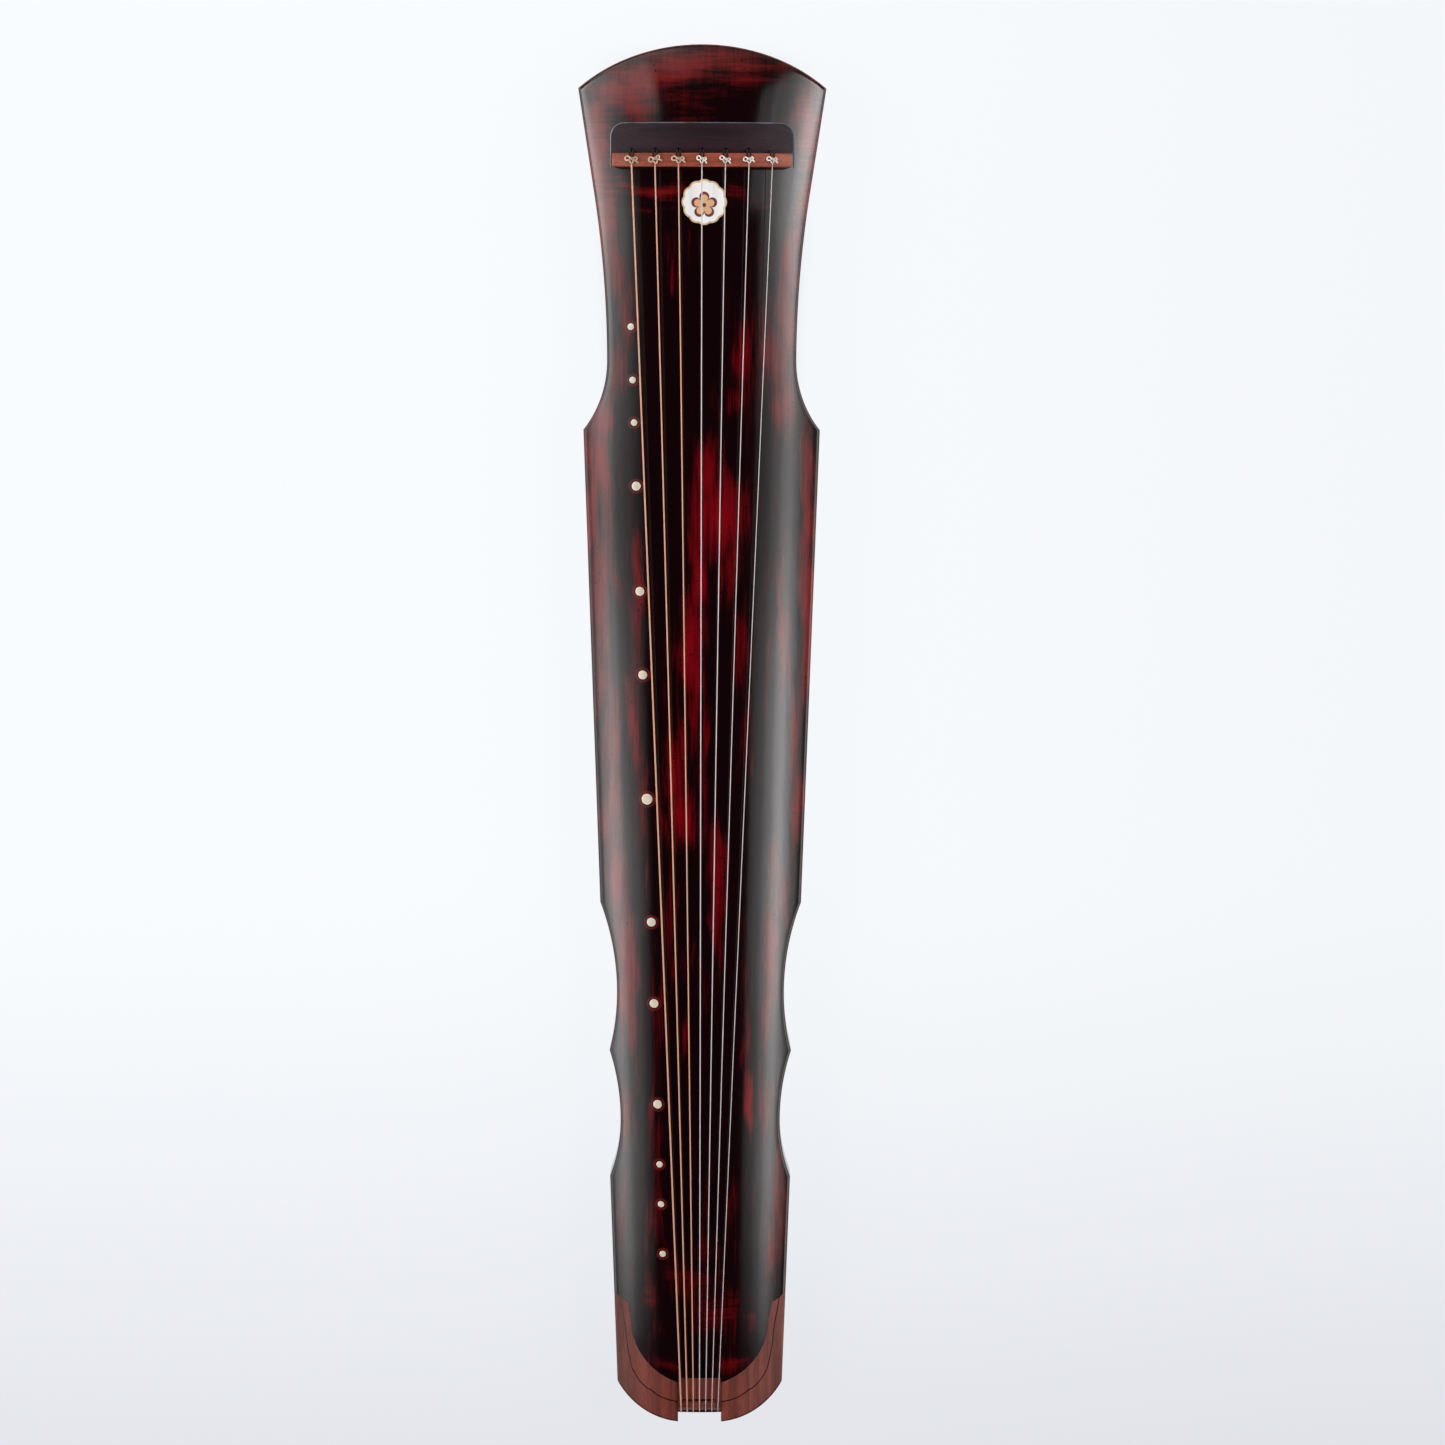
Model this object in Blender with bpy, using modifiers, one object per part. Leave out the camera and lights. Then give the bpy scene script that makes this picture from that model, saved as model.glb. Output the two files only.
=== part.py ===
"""A guqin, the seven-string Chinese zither, as an assembly of separate solids.

Metres. +X runs from the tail to the head, +Y towards the hui studs, which lie on the side away from the
player, and +Z up. The origin is on the table, under the middle of the instrument, which stands on its two
goose feet and two peg guards.
"""

import math

import bmesh
import bpy
from mathutils import Matrix, Vector

GAP = 0.0003  # between pieces that touch
PAST = 0.03  # how far a cutter reaches past what it cuts

# Outline in plan: a long taper with a neck and two waist hollows cut into it, and an arc at each end
LENGTH = 1.2324
HEAD_X = LENGTH / 2
TAIL_X = -LENGTH / 2
SHOULDER_X = 0.2836
SHOULDER_HALF = 0.1039
TAPER = 0.0333
NECK_X = 0.3445
NECK_HALF = 0.0827
NECK_RADIUS_TAIL = 0.098
NECK_RADIUS_HEAD = 0.941
FLARE_X = 0.49
FLARE = 0.155
WAIST_UPPER_X = -0.2185
WAIST_UPPER_HALF = 0.0749
WAIST_UPPER_RADIUS = 0.225
WAIST_LOWER_X = -0.336
WAIST_LOWER_HALF = 0.0718
WAIST_LOWER_RADIUS_TAIL = 0.155
WAIST_LOWER_RADIUS_HEAD = 0.205
WAIST_TOP_X = -0.1378
WAIST_POINT_X = -0.2732
WAIST_END_X = -0.3900
HEAD_ARC_HALF = 0.150  # the head's end is part of an ellipse with these half-axes across and along
HEAD_ARC_REACH = 0.122
HEAD_CORNER_HALF = 0.1077
TAIL_ARC_RADIUS = 0.068
TAIL_ARC_Y = 0.016
TAIL_CORNER_HALF = 0.0751
HEAD_FAN_X = 0.50  # beyond these two stations the mesh rows bend to follow the end arcs
TAIL_FAN_X = -0.545
BODY_STEP = 0.021  # between the stations along the body

# Heights
BACK_Z = 0.030
BACK_THICK = 0.012
BOARD_Z = BACK_Z + BACK_THICK + GAP
EDGE_Z = 0.063
CROWN_RATIO = 0.193  # height of the arch over its half-width
TAIL_DROP = 0.0035
TAIL_DROP_X = 0.10
HEAD_DROP = 0.0105
HEAD_DROP_X = 0.42
HEAD_FLATTEN = 0.35
LIP_WIDTH = 0.0024  # rounding of the top's edge
LIP_DROP = 0.0015

# Strings
STRINGS = 7
STRING_LENGTH = 1.110
BRIDGE_STRING_X = 0.5125
NUT_STRING_X = BRIDGE_STRING_X - STRING_LENGTH
BRIDGE_SPACING = 0.0202
NUT_SPACING = 0.0056
STRING_DIAMETERS = (0.00150, 0.00130, 0.00115, 0.00100, 0.00090, 0.00080, 0.00072)
STRINGS_ON_FAR_FOOT = 4

# Bridge and dew collector, the plate behind it
BRIDGE_FRONT_X = 0.511
BRIDGE_BACK_X = 0.5225
BRIDGE_HALF = 0.0777
BRIDGE_HEIGHT = 0.015
COLLECTOR_BACK_X = 0.548
COLLECTOR_HALF = 0.0785
COLLECTOR_CORNER = 0.011
COLLECTOR_RAISE = 0.0010
BRIDGE_BEVEL = 0.0010
INLAY_DEPTH = 0.003
STRING_HOLE_X = 0.5256
STRING_HOLE_RADIUS = 0.0019
KNOT_X = 0.5163
KNOT_RADII = (0.0028, 0.0036, 0.0018)
CORD_RADIUS = 0.0011

# Hui: each stud marks a fraction of the string's length
HUI_FRACTIONS = (1 / 8, 1 / 6, 1 / 5, 1 / 4, 1 / 3, 2 / 5, 1 / 2, 3 / 5, 2 / 3, 3 / 4, 4 / 5, 5 / 6, 7 / 8)
HUI_HEAD_Y = 0.0667  # the line of studs at the bridge and at the nut
HUI_TAIL_Y = 0.0290
HUI_SMALL = 0.0029
HUI_MEDIUM = 0.0040
HUI_LARGE = 0.0049
HUI_THICK = 0.0020
HUI_PROUD = 0.0001

# Round label under the strings
LABEL_X = 0.481
LABEL_Y = -0.002
LABEL_RADIUS = 0.0197
LABEL_THICK = 0.0003

# Tail
NOTCH_HALF = 0.0196
NUT_END_X = -0.607
NUT_START_X = -0.5747
NUT_HEIGHT = 0.0035
NUT_ROUND = 0.0095
NUT_DEPTH = 0.009
NUT_RISE = 0.0012  # the nut climbs this far over its first stretch
NUT_RISE_LENGTH = 0.010
CROWN_DEPTH = 0.009
CROWN_ELLIPSE_X = -0.525
CROWN_ELLIPSE_LONG = 0.057
CROWN_ELLIPSE_HALF = 0.062
CROWN_STEP_X = -0.506
CROWN_STEP_HALF = 0.0655
CROWN_TIP_X = -0.4974
CROWN_TIP_HALF = 0.0779
GUM_REST_X = -0.566
GUM_REST_Z = BACK_Z - 0.0045
GUM_REST_ROUND = 0.006
TAIL_REST_X = -0.560
TAIL_REST_THICK = 0.0035

# Underside
PEG_SLOT_X = 0.5256
PEG_SLOT_WIDTH = 0.032
PEG_SLOT_LENGTH = 0.152
PEG_SLOT_RADIUS = 0.006
PEG_PLATE_THICK = 0.0055
PEG_LENGTH = 0.034
PEG_BORE = 0.0016
PEG_SIDES = 16
GUARD_X = (0.504, 0.558)
GUARD_Y = (0.0785, 0.0935)
GUARD_FOOT = 0.013  # half the length of the flat that stands on the table
GUARD_HEEL = 0.019  # how high its ends turn up
GUARD_BEVEL = 0.0012
POOL_RADIUS = 0.0105
POOL_RIM = 0.0035
POOL_PROUD = 0.001
DRAGON_POOL = (0.095, 0.205, 0.026)  # middle along X, length, width
PHOENIX_POOL = (-0.395, 0.110, 0.024)
FOOT_X = -0.262
FOOT_Y = 0.056
FOOT_TENON = 0.011
FOOT_TENON_UP = 0.014
FOOT_NECK = 0.0085
SOCKET_SIDE = 0.026
SOCKET_PROUD = 0.0008
SOCKET_CORNER = 0.002
WINDING_TOP = 0.0270
WINDING_BOTTOM = 0.0182
WINDING_RADIUS = 0.0122

# Inside
CEILING_THICK = 0.012
CAVITY_MARGIN = 0.018
CAVITIES = ((-0.225, 0.455), (-0.545, -0.300))  # each from its tail end to its head end
CAVITY_STEP = 0.030
ABSORBER_THICK = 0.005  # the ceiling is thicker over each sound hole
ABSORBER_HALF = 0.022
ABSORBER_REACH = 0.020
HEAVEN_PILLAR_X = 0.262
EARTH_PILLAR_X = -0.100
PILLAR_RADIUS = 0.007


# ---- Shape of the body --------------------------------------------------------------------------------

def hollow(x, middle, narrowest, radius_tail, radius_head):
    """Half-width left by a concave arc that is narrowest at middle."""
    reach = abs(x - middle)
    radius = radius_head if x > middle else radius_tail
    if reach >= radius:
        return math.inf
    return narrowest + radius - math.sqrt(radius**2 - reach**2)


def neck(x):
    if x <= FLARE_X:
        return hollow(x, NECK_X, NECK_HALF, NECK_RADIUS_TAIL, NECK_RADIUS_HEAD)
    return neck(FLARE_X) + FLARE * (x - FLARE_X)


def taper(x):
    return SHOULDER_HALF + TAPER * (x - SHOULDER_X)


def half_width(x):
    """Half the body's width between its end arcs, and held at the corners' beyond them."""
    x = max(TAIL_CORNER_X, min(HEAD_CORNER_X, x))
    upper = hollow(x, WAIST_UPPER_X, WAIST_UPPER_HALF, WAIST_UPPER_RADIUS, WAIST_UPPER_RADIUS)
    lower = hollow(x, WAIST_LOWER_X, WAIST_LOWER_HALF, WAIST_LOWER_RADIUS_TAIL, WAIST_LOWER_RADIUS_HEAD)
    return min(taper(x), upper, lower, neck(x))


def head_drop(y):
    """How far the head's arc has fallen back from its middle, at y."""
    return HEAD_ARC_REACH * (1 - math.sqrt(1 - (y / HEAD_ARC_HALF) ** 2))


def tail_drop(y):
    reach = max(abs(y) - TAIL_ARC_Y, 0)
    return TAIL_ARC_RADIUS - math.sqrt(TAIL_ARC_RADIUS**2 - reach**2)


HEAD_CORNER_X = HEAD_X - head_drop(HEAD_CORNER_HALF)
TAIL_CORNER_X = TAIL_X + tail_drop(TAIL_CORNER_HALF)


def head_ease(x):
    """0 along the body, rising to 1 at the head's end as the forehead slopes down."""
    return (max(x - HEAD_DROP_X, 0) / (HEAD_X - HEAD_DROP_X)) ** 2


def edge_height(x):
    tail_ease = (max(TAIL_DROP_X - x, 0) / (TAIL_DROP_X - TAIL_X)) ** 2
    return EDGE_Z - TAIL_DROP * tail_ease - HEAD_DROP * head_ease(x)


def arch(x, y):
    """Height of the arched top before its edges are rounded."""
    half = taper(x)
    crown = CROWN_RATIO * half * (1 - HEAD_FLATTEN * head_ease(x))
    return edge_height(x) + crown * (1 - (y / half) ** 2)


def rounding(inside, width):
    """Share of the lip's drop at a distance inside the edge: 1 on the edge, 0 from width inwards."""
    across = min(max(1 - inside / width, 0), 1)
    return 1 - math.sqrt(1 - across**2)


def top_height(x, y):
    """Height of the body's upper surface."""
    from_side = half_width(x) - abs(y)
    from_head = HEAD_X - head_drop(min(abs(y), HEAD_CORNER_HALF)) - x
    return arch(x, y) - LIP_DROP * rounding(min(from_side, from_head), LIP_WIDTH)


def ceiling_height(x, y):
    """Height of the roof of the hollows, with the sound absorbers left thicker over the two sound holes."""
    absorber = 0
    for middle, length, _ in (DRAGON_POOL, PHOENIX_POOL):
        beyond = max(abs(x - middle) - length / 2, abs(y) - ABSORBER_HALF, 0)
        absorber += max(1 - beyond / ABSORBER_REACH, 0)
    return arch(x, y) - CEILING_THICK - ABSORBER_THICK * absorber


def string_y(number, x):
    """Where string 1 to 7 lies across the board at x, between the bridge and the nut."""
    place = (STRINGS + 1) / 2 - number
    toward_nut = (BRIDGE_STRING_X - x) / STRING_LENGTH
    return place * (BRIDGE_SPACING + (NUT_SPACING - BRIDGE_SPACING) * toward_nut)


# ---- Making objects -----------------------------------------------------------------------------------

def clear_scene():
    for old in list(bpy.data.objects):
        bpy.data.objects.remove(old)


def make_collection(name):
    made = bpy.data.collections.new(name)
    bpy.context.scene.collection.children.link(made)
    return made


def make_look(name, colour, roughness, metallic=0.0):
    look = bpy.data.materials.new(name)
    look.use_nodes = True
    shader = look.node_tree.nodes["Principled BSDF"]
    shader.inputs["Base Color"].default_value = (*colour, 1)
    shader.inputs["Roughness"].default_value = roughness
    shader.inputs["Metallic"].default_value = metallic
    return look


clear_scene()
GUQIN = make_collection("guqin")
CUTTERS = make_collection("cutters")
LACQUER = make_look("lacquer", (0.045, 0.008, 0.010), 0.20)
ROSEWOOD = make_look("rosewood", (0.230, 0.060, 0.040), 0.40)
EBONY = make_look("ebony", (0.035, 0.022, 0.025), 0.40)
BARE_WOOD = make_look("bare_wood", (0.450, 0.300, 0.170), 0.80)
SHELL = make_look("shell", (0.780, 0.740, 0.640), 0.25)
COPPER = make_look("copper_winding", (0.620, 0.310, 0.200), 0.35, 0.8)
SILVER = make_look("silver_winding", (0.620, 0.600, 0.590), 0.30, 0.8)
SILK = make_look("silk_cord", (0.090, 0.045, 0.035), 0.80)
PAPER = make_look("paper", (0.900, 0.880, 0.840), 0.60)


def add_object(name, data, look, collection=GUQIN):
    made = bpy.data.objects.new(name, data)
    collection.objects.link(made)
    if look:
        data.materials.append(look)
    if collection == CUTTERS:
        made.hide_render = True
        made.display_type = "WIRE"
    return made


def finish_mesh(shape, name, look, collection=GUQIN):
    """An object from a bmesh, with its faces pointing out and its round stretches smooth."""
    bmesh.ops.recalc_face_normals(shape, faces=shape.faces)
    mesh = bpy.data.meshes.new(name)
    shape.to_mesh(mesh)
    shape.free()
    mesh.shade_smooth()
    mesh.set_sharp_from_angle(angle=math.radians(35))
    return add_object(name, mesh, look, collection)


def slab(name, rows, columns, plan, top, bottom, look, collection=GUQIN):
    """A closed solid over a grid: plan(row, column) gives x and y, top and bottom the heights there."""
    shape = bmesh.new()
    sheets = []
    for surface in (top, bottom):
        spots = [[plan(row, column) for column in columns] for row in rows]
        sheets.append([[shape.verts.new((x, y, surface(x, y))) for x, y in line] for line in spots])
    last_row, last_column = len(rows) - 1, len(columns) - 1
    for sheet in sheets:
        for i in range(last_row):
            for j in range(last_column):
                shape.faces.new((sheet[i][j], sheet[i][j + 1], sheet[i + 1][j + 1], sheet[i + 1][j]))
    upper, lower = sheets
    for i in range(last_row):
        for j in (0, last_column):
            shape.faces.new((upper[i][j], upper[i + 1][j], lower[i + 1][j], lower[i][j]))
    for j in range(last_column):
        for i in (0, last_row):
            shape.faces.new((upper[i][j], upper[i][j + 1], lower[i][j + 1], lower[i][j]))
    return finish_mesh(shape, name, look, collection)


def flat_piece(name, loops, low, high, look, collection=GUQIN):
    """A plate between two heights, from closed loops of (x, y); inner loops are holes."""
    curve = bpy.data.curves.new(name, "CURVE")
    curve.dimensions = "2D"
    curve.fill_mode = "BOTH"
    curve.extrude = (high - low) / 2
    for loop in loops:
        spline = curve.splines.new("POLY")
        spline.points.add(len(loop) - 1)
        spline.use_cyclic_u = True
        for point, (x, y) in zip(spline.points, loop):
            point.co = (x, y, 0, 1)
    made = add_object(name, curve, look, collection)
    made.location.z = (low + high) / 2
    return made


def tube(name, route, radius, look, collection=GUQIN):
    curve = bpy.data.curves.new(name, "CURVE")
    curve.dimensions = "3D"
    curve.bevel_depth = radius
    curve.bevel_resolution = 2
    curve.use_fill_caps = True
    spline = curve.splines.new("POLY")
    spline.points.add(len(route) - 1)
    for point, place in zip(spline.points, route):
        point.co = (*place, 1)
    return add_object(name, curve, look, collection)


def as_mesh(curve_object):
    """The curve object made a mesh object of the same name, its caps welded on."""
    bpy.context.view_layer.update()
    graph = bpy.context.evaluated_depsgraph_get()
    mesh = bpy.data.meshes.new_from_object(curve_object.evaluated_get(graph))
    shape = bmesh.new()
    shape.from_mesh(mesh)
    bmesh.ops.remove_doubles(shape, verts=shape.verts, dist=1e-6)
    shape.to_mesh(mesh)
    shape.free()
    name = curve_object.name
    home = curve_object.users_collection[0]
    place = curve_object.matrix_world.copy()
    bpy.data.objects.remove(curve_object)
    made = add_object(name, mesh, None, home)
    made.matrix_world = place
    return made


def turned(name, profile, steps, look, cyclic=False, collection=GUQIN):
    """A shape turned about Z from a profile of (radius, z) that runs down its outer side."""
    mesh = bpy.data.meshes.new(name)
    edges = [(i, i + 1) for i in range(len(profile) - 1)]
    if cyclic:
        edges.append((len(profile) - 1, 0))
    mesh.from_pydata([(radius, 0, z) for radius, z in profile], edges, [])
    made = add_object(name, mesh, look, collection)
    screw = made.modifiers.new("turn", "SCREW")
    screw.steps = screw.render_steps = steps
    screw.use_merge_vertices = True
    screw.merge_threshold = 1e-5
    return made


def block(name, low, high, look, collection=GUQIN):
    """A box between two corners."""
    bpy.ops.mesh.primitive_cube_add(size=1)
    made = bpy.context.object
    made.name = name
    low, high = Vector(low), Vector(high)
    made.data.transform(Matrix.Translation((low + high) / 2) @ Matrix.Diagonal((*(high - low), 1)))
    for home in list(made.users_collection):
        home.objects.unlink(made)
    collection.objects.link(made)
    if look:
        made.data.materials.append(look)
    if collection == CUTTERS:
        made.hide_render = True
        made.display_type = "WIRE"
    return made


def discs(name, places, look=None, collection=CUTTERS, sides=20):
    """One object of upright or tilted cylinders, each given as (matrix at its middle, radius, depth)."""
    shape = bmesh.new()
    for matrix, radius, depth in places:
        bmesh.ops.create_cone(
            shape, cap_ends=True, segments=sides, radius1=radius, radius2=radius, depth=depth, matrix=matrix
        )
    return finish_mesh(shape, name, look, collection)


def boolean(target, other, operation="DIFFERENCE"):
    modifier = target.modifiers.new(other.name, "BOOLEAN")
    modifier.object = other
    modifier.operation = operation


def bevel(target, width, segments=2):
    modifier = target.modifiers.new("bevel", "BEVEL")
    modifier.width = width
    modifier.segments = segments
    modifier.limit_method = "ANGLE"
    modifier.angle_limit = math.radians(40)


def spread(low, high, steps):
    return [low + (high - low) * i / steps for i in range(steps + 1)]


def stretches(marks, step):
    """Stations through every mark, no further apart than step."""
    found = [marks[0]]
    for low, high in zip(marks, marks[1:]):
        found += spread(low, high, max(1, math.ceil((high - low) / step - 1e-6)))[1:]
    return found


# ---- Body ---------------------------------------------------------------------------------------------

CORNERS = (WAIST_END_X, WAIST_POINT_X, WAIST_TOP_X, SHOULDER_X)


def body_plan(station, across):
    """Grid over the whole body: its rows bend at the ends to follow the end arcs."""
    x = station
    if station > HEAD_FAN_X:
        x -= (station - HEAD_FAN_X) / (HEAD_X - HEAD_FAN_X) * head_drop(across * HEAD_CORNER_HALF)
    if station < TAIL_FAN_X:
        x += (TAIL_FAN_X - station) / (TAIL_FAN_X - TAIL_X) * tail_drop(across * TAIL_CORNER_HALF)
    return x, across * half_width(x)


def body_outline(step):
    """Closed loop round the body, with the notch for the strings in the tail."""
    sides = [(x, half_width(x)) for x in stretches((TAIL_CORNER_X, *CORNERS, HEAD_CORNER_X), step)]
    head = [(HEAD_X - head_drop(y), y) for y in spread(HEAD_CORNER_HALF, 0, 12)[1:]]
    tail = [(TAIL_X + tail_drop(y), y) for y in spread(NOTCH_HALF, TAIL_CORNER_HALF, 10)[:-1]]
    half = [(GUM_REST_X + GAP, NOTCH_HALF)] + tail + sides + head
    mirrored = [(x, -y) for x, y in reversed(half[:-1])]
    return half + mirrored


def rounded_rectangle(middle_x, middle_y, length, width, radius, steps=5):
    loop = []
    for turn, (along, across) in enumerate(((1, 1), (-1, 1), (-1, -1), (1, -1))):
        x = middle_x + along * (length / 2 - radius)
        y = middle_y + across * (width / 2 - radius)
        for angle in spread(turn * math.pi / 2, (turn + 1) * math.pi / 2, steps):
            loop.append((x + radius * math.cos(angle), y + radius * math.sin(angle)))
    return loop


def crown_inner_x(y, inset=0.0):
    """Where the crown corner meets the lacquer at y: an ellipse, a straight side and a step to its tip."""
    y = abs(y)
    half = CROWN_ELLIPSE_HALF - inset
    step_half = CROWN_STEP_HALF - inset
    if y <= half:
        return CROWN_ELLIPSE_X - (CROWN_ELLIPSE_LONG - inset) * math.sqrt(1 - (y / half) ** 2)
    if y <= step_half:
        return CROWN_ELLIPSE_X + (CROWN_STEP_X - CROWN_ELLIPSE_X) * (y - half) / (step_half - half)
    slope = (CROWN_TIP_X - CROWN_STEP_X) / (CROWN_TIP_HALF - CROWN_STEP_HALF)
    return CROWN_STEP_X + slope * (y - step_half) + inset


def tail_outer_x(y):
    """The outline's x at y near the tail: the end arc, then the tapered side."""
    y = abs(y)
    if y <= TAIL_CORNER_HALF:
        return TAIL_X + tail_drop(y)
    return SHOULDER_X + (y - SHOULDER_HALF) / TAPER


def crown_columns(low, high, inset=0.0):
    """Distances across the crown corner, closer together where its inner edge turns along the body."""
    half = CROWN_ELLIPSE_HALF - inset
    angles = spread(math.asin(low / half), math.pi / 2, 8)
    beyond = (CROWN_STEP_HALF - inset, TAIL_CORNER_HALF, high)
    return [half * math.sin(angle) for angle in angles] + list(beyond)


def surface_matrix(x, y, lift):
    """Placement on the top surface, +Z along its normal, lifted by a distance along it."""
    reach = 0.001
    along = Vector((2 * reach, 0, top_height(x + reach, y) - top_height(x - reach, y)))
    across = Vector((0, 2 * reach, top_height(x, y + reach) - top_height(x, y - reach)))
    normal = along.cross(across).normalized()
    turn = normal.to_track_quat("Z", "Y").to_matrix().to_4x4()
    return Matrix.Translation(Vector((x, y, top_height(x, y))) + normal * lift) @ turn


def hui_places():
    """(name, x, y, radius) of each stud, numbered from the head."""
    for number, fraction in enumerate(HUI_FRACTIONS, start=1):
        x = BRIDGE_STRING_X - STRING_LENGTH * fraction
        y = HUI_HEAD_Y + (HUI_TAIL_Y - HUI_HEAD_Y) * fraction
        radius = HUI_LARGE if number == 7 else HUI_MEDIUM if 4 <= number <= 10 else HUI_SMALL
        yield f"hui_{number:02d}", x, y, radius


def string_hole_cutter():
    """Seven upright bores, one under each string, through the plate, the board and the peg plate."""
    low, high = BACK_Z - PAST, EDGE_Z + PAST
    places = []
    for number in range(1, STRINGS + 1):
        y = string_y(number, BRIDGE_STRING_X)
        place = Matrix.Translation((STRING_HOLE_X, y, (low + high) / 2))
        places.append((place, STRING_HOLE_RADIUS, high - low))
    return discs("string_hole_cutter", places, sides=12)


def make_soundboard(string_holes):
    rows = stretches((TAIL_X, TAIL_FAN_X, *CORNERS, HEAD_FAN_X, HEAD_X), BODY_STEP)
    half = (0.13, 0.26, 0.39, 0.52, 0.65, 0.76, 0.85, 0.92, 0.97, 1.0)
    columns = [-share for share in reversed(half)] + [0.0] + list(half)
    board = slab("soundboard", rows, columns, body_plan, top_height, lambda x, y: BOARD_Z, LACQUER)
    for number, (low, high) in enumerate(CAVITIES, start=1):
        cavity = slab(
            f"cavity_{number}_cutter", stretches((low, high), CAVITY_STEP), spread(-1, 1, 10),
            lambda x, share: (x, share * (half_width(x) - CAVITY_MARGIN)),
            ceiling_height, lambda x, y: BACK_Z, None, CUTTERS,
        )
        boolean(board, cavity)
    boolean(board, make_inlay_seat())
    for side in (1, -1):
        boolean(board, make_crown_seat(side))
        y = side * FOOT_Y
        reach = FOOT_TENON / 2 + GAP
        boolean(board, block(
            f"tenon_socket_{side}_cutter", (FOOT_X - reach, y - reach, BACK_Z),
            (FOOT_X + reach, y + reach, BOARD_Z + FOOT_TENON_UP + GAP), None, CUTTERS,
        ))
    boolean(board, block(
        "nut_seat_cutter",
        (TAIL_X - PAST, -NOTCH_HALF - GAP, arch(NUT_END_X, 0) - NUT_DEPTH - GAP),
        (NUT_START_X + GAP, NOTCH_HALF + GAP, EDGE_Z + PAST), None, CUTTERS,
    ))
    boolean(board, block(
        "notch_cutter", (TAIL_X - PAST, -NOTCH_HALF, BACK_Z), (NUT_END_X, NOTCH_HALF, EDGE_Z + PAST),
        None, CUTTERS,
    ))
    seats = [
        (surface_matrix(x, y, 0), radius + GAP, 2 * (HUI_THICK + GAP)) for _, x, y, radius in hui_places()
    ]
    boolean(board, discs("hui_seat_cutter", seats))
    boolean(board, string_holes)
    return board


def make_back_board():
    loops = [body_outline(BODY_STEP)]
    for middle, length, width in (DRAGON_POOL, PHOENIX_POOL):
        grown = 2 * (POOL_RIM + GAP)
        loops.append(
            rounded_rectangle(middle, 0, length + grown, width + grown, POOL_RADIUS + POOL_RIM + GAP)
        )
    for side in (1, -1):
        hole = SOCKET_SIDE + 2 * GAP
        loops.append(rounded_rectangle(FOOT_X, side * FOOT_Y, hole, hole, SOCKET_CORNER, 2))
    loops.append(rounded_rectangle(PEG_SLOT_X, 0, PEG_SLOT_WIDTH, PEG_SLOT_LENGTH, PEG_SLOT_RADIUS))
    return flat_piece("back_board", loops, BACK_Z, BACK_Z + BACK_THICK, LACQUER)


def make_pool_rims():
    """Hardwood linings of the two sound holes."""
    for name, pool in (("dragon_pool_rim", DRAGON_POOL), ("phoenix_pool_rim", PHOENIX_POOL)):
        middle, length, width = pool
        outer = rounded_rectangle(
            middle, 0, length + 2 * POOL_RIM, width + 2 * POOL_RIM, POOL_RADIUS + POOL_RIM
        )
        inner = rounded_rectangle(middle, 0, length, width, POOL_RADIUS)
        flat_piece(name, [outer, inner], BACK_Z - POOL_PROUD, BACK_Z + BACK_THICK, ROSEWOOD)


def make_pillars():
    """The round heaven pillar and the square earth pillar, standing between back board and ceiling."""
    low = BOARD_Z
    for name, x, sides in (("heaven_pillar", HEAVEN_PILLAR_X, 20), ("earth_pillar", EARTH_PILLAR_X, 4)):
        corners = (x - PILLAR_RADIUS, x + PILLAR_RADIUS)
        high = min(ceiling_height(corner, PILLAR_RADIUS) for corner in corners) - GAP
        bpy.ops.mesh.primitive_cylinder_add(
            vertices=sides, radius=PILLAR_RADIUS * (1 if sides > 4 else math.sqrt(2)), depth=high - low,
            location=(x, 0, (low + high) / 2), rotation=(0, 0, 0 if sides > 4 else math.pi / 4),
        )
        pillar = bpy.context.object
        pillar.name = name
        pillar.data.materials.append(BARE_WOOD)
        for home in list(pillar.users_collection):
            home.objects.unlink(pillar)
        GUQIN.objects.link(pillar)


# ---- Head: dew collector, bridge, pegs ----------------------------------------------------------------

def collector_back_x(y, half, grow=0.0):
    """The plate's edge towards the head, with its two corners rounded."""
    into_corner = max(abs(y) - (half - COLLECTOR_CORNER), 0)
    rounded = COLLECTOR_CORNER - math.sqrt(max(COLLECTOR_CORNER**2 - into_corner**2, 0))
    return COLLECTOR_BACK_X + grow - rounded


def collector_columns(half):
    """Distances across the plate, closer together round its corners."""
    corner = [
        half - COLLECTOR_CORNER + COLLECTOR_CORNER * math.sin(angle)
        for angle in spread(0, math.pi / 2, 5)
    ]
    inner = spread(0, half - COLLECTOR_CORNER, 6)[1:-1]
    positive = inner + corner
    return [-y for y in reversed(positive)] + [0.0] + positive


def make_inlay_seat():
    """The recess in the board that holds the dew collector and the bridge."""
    half = COLLECTOR_HALF + GAP
    return slab(
        "inlay_seat_cutter", spread(0, 1, 2), collector_columns(half),
        lambda share, y: (
            BRIDGE_FRONT_X - GAP + share * (collector_back_x(y, half, GAP) - BRIDGE_FRONT_X + GAP), y
        ),
        lambda x, y: EDGE_Z + PAST,
        lambda x, y: arch(x, y) - INLAY_DEPTH - GAP, None, CUTTERS,
    )


def make_dew_collector(string_holes):
    start = BRIDGE_BACK_X + GAP
    plate = slab(
        "dew_collector", spread(0, 1, 4), collector_columns(COLLECTOR_HALF),
        lambda share, y: (start + share * (collector_back_x(y, COLLECTOR_HALF) - start), y),
        lambda x, y: arch(x, y) + COLLECTOR_RAISE,
        lambda x, y: arch(x, y) - INLAY_DEPTH, EBONY,
    )
    boolean(plate, string_holes)


def bridge_top(y):
    return arch(BRIDGE_STRING_X, y) + BRIDGE_HEIGHT


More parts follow.
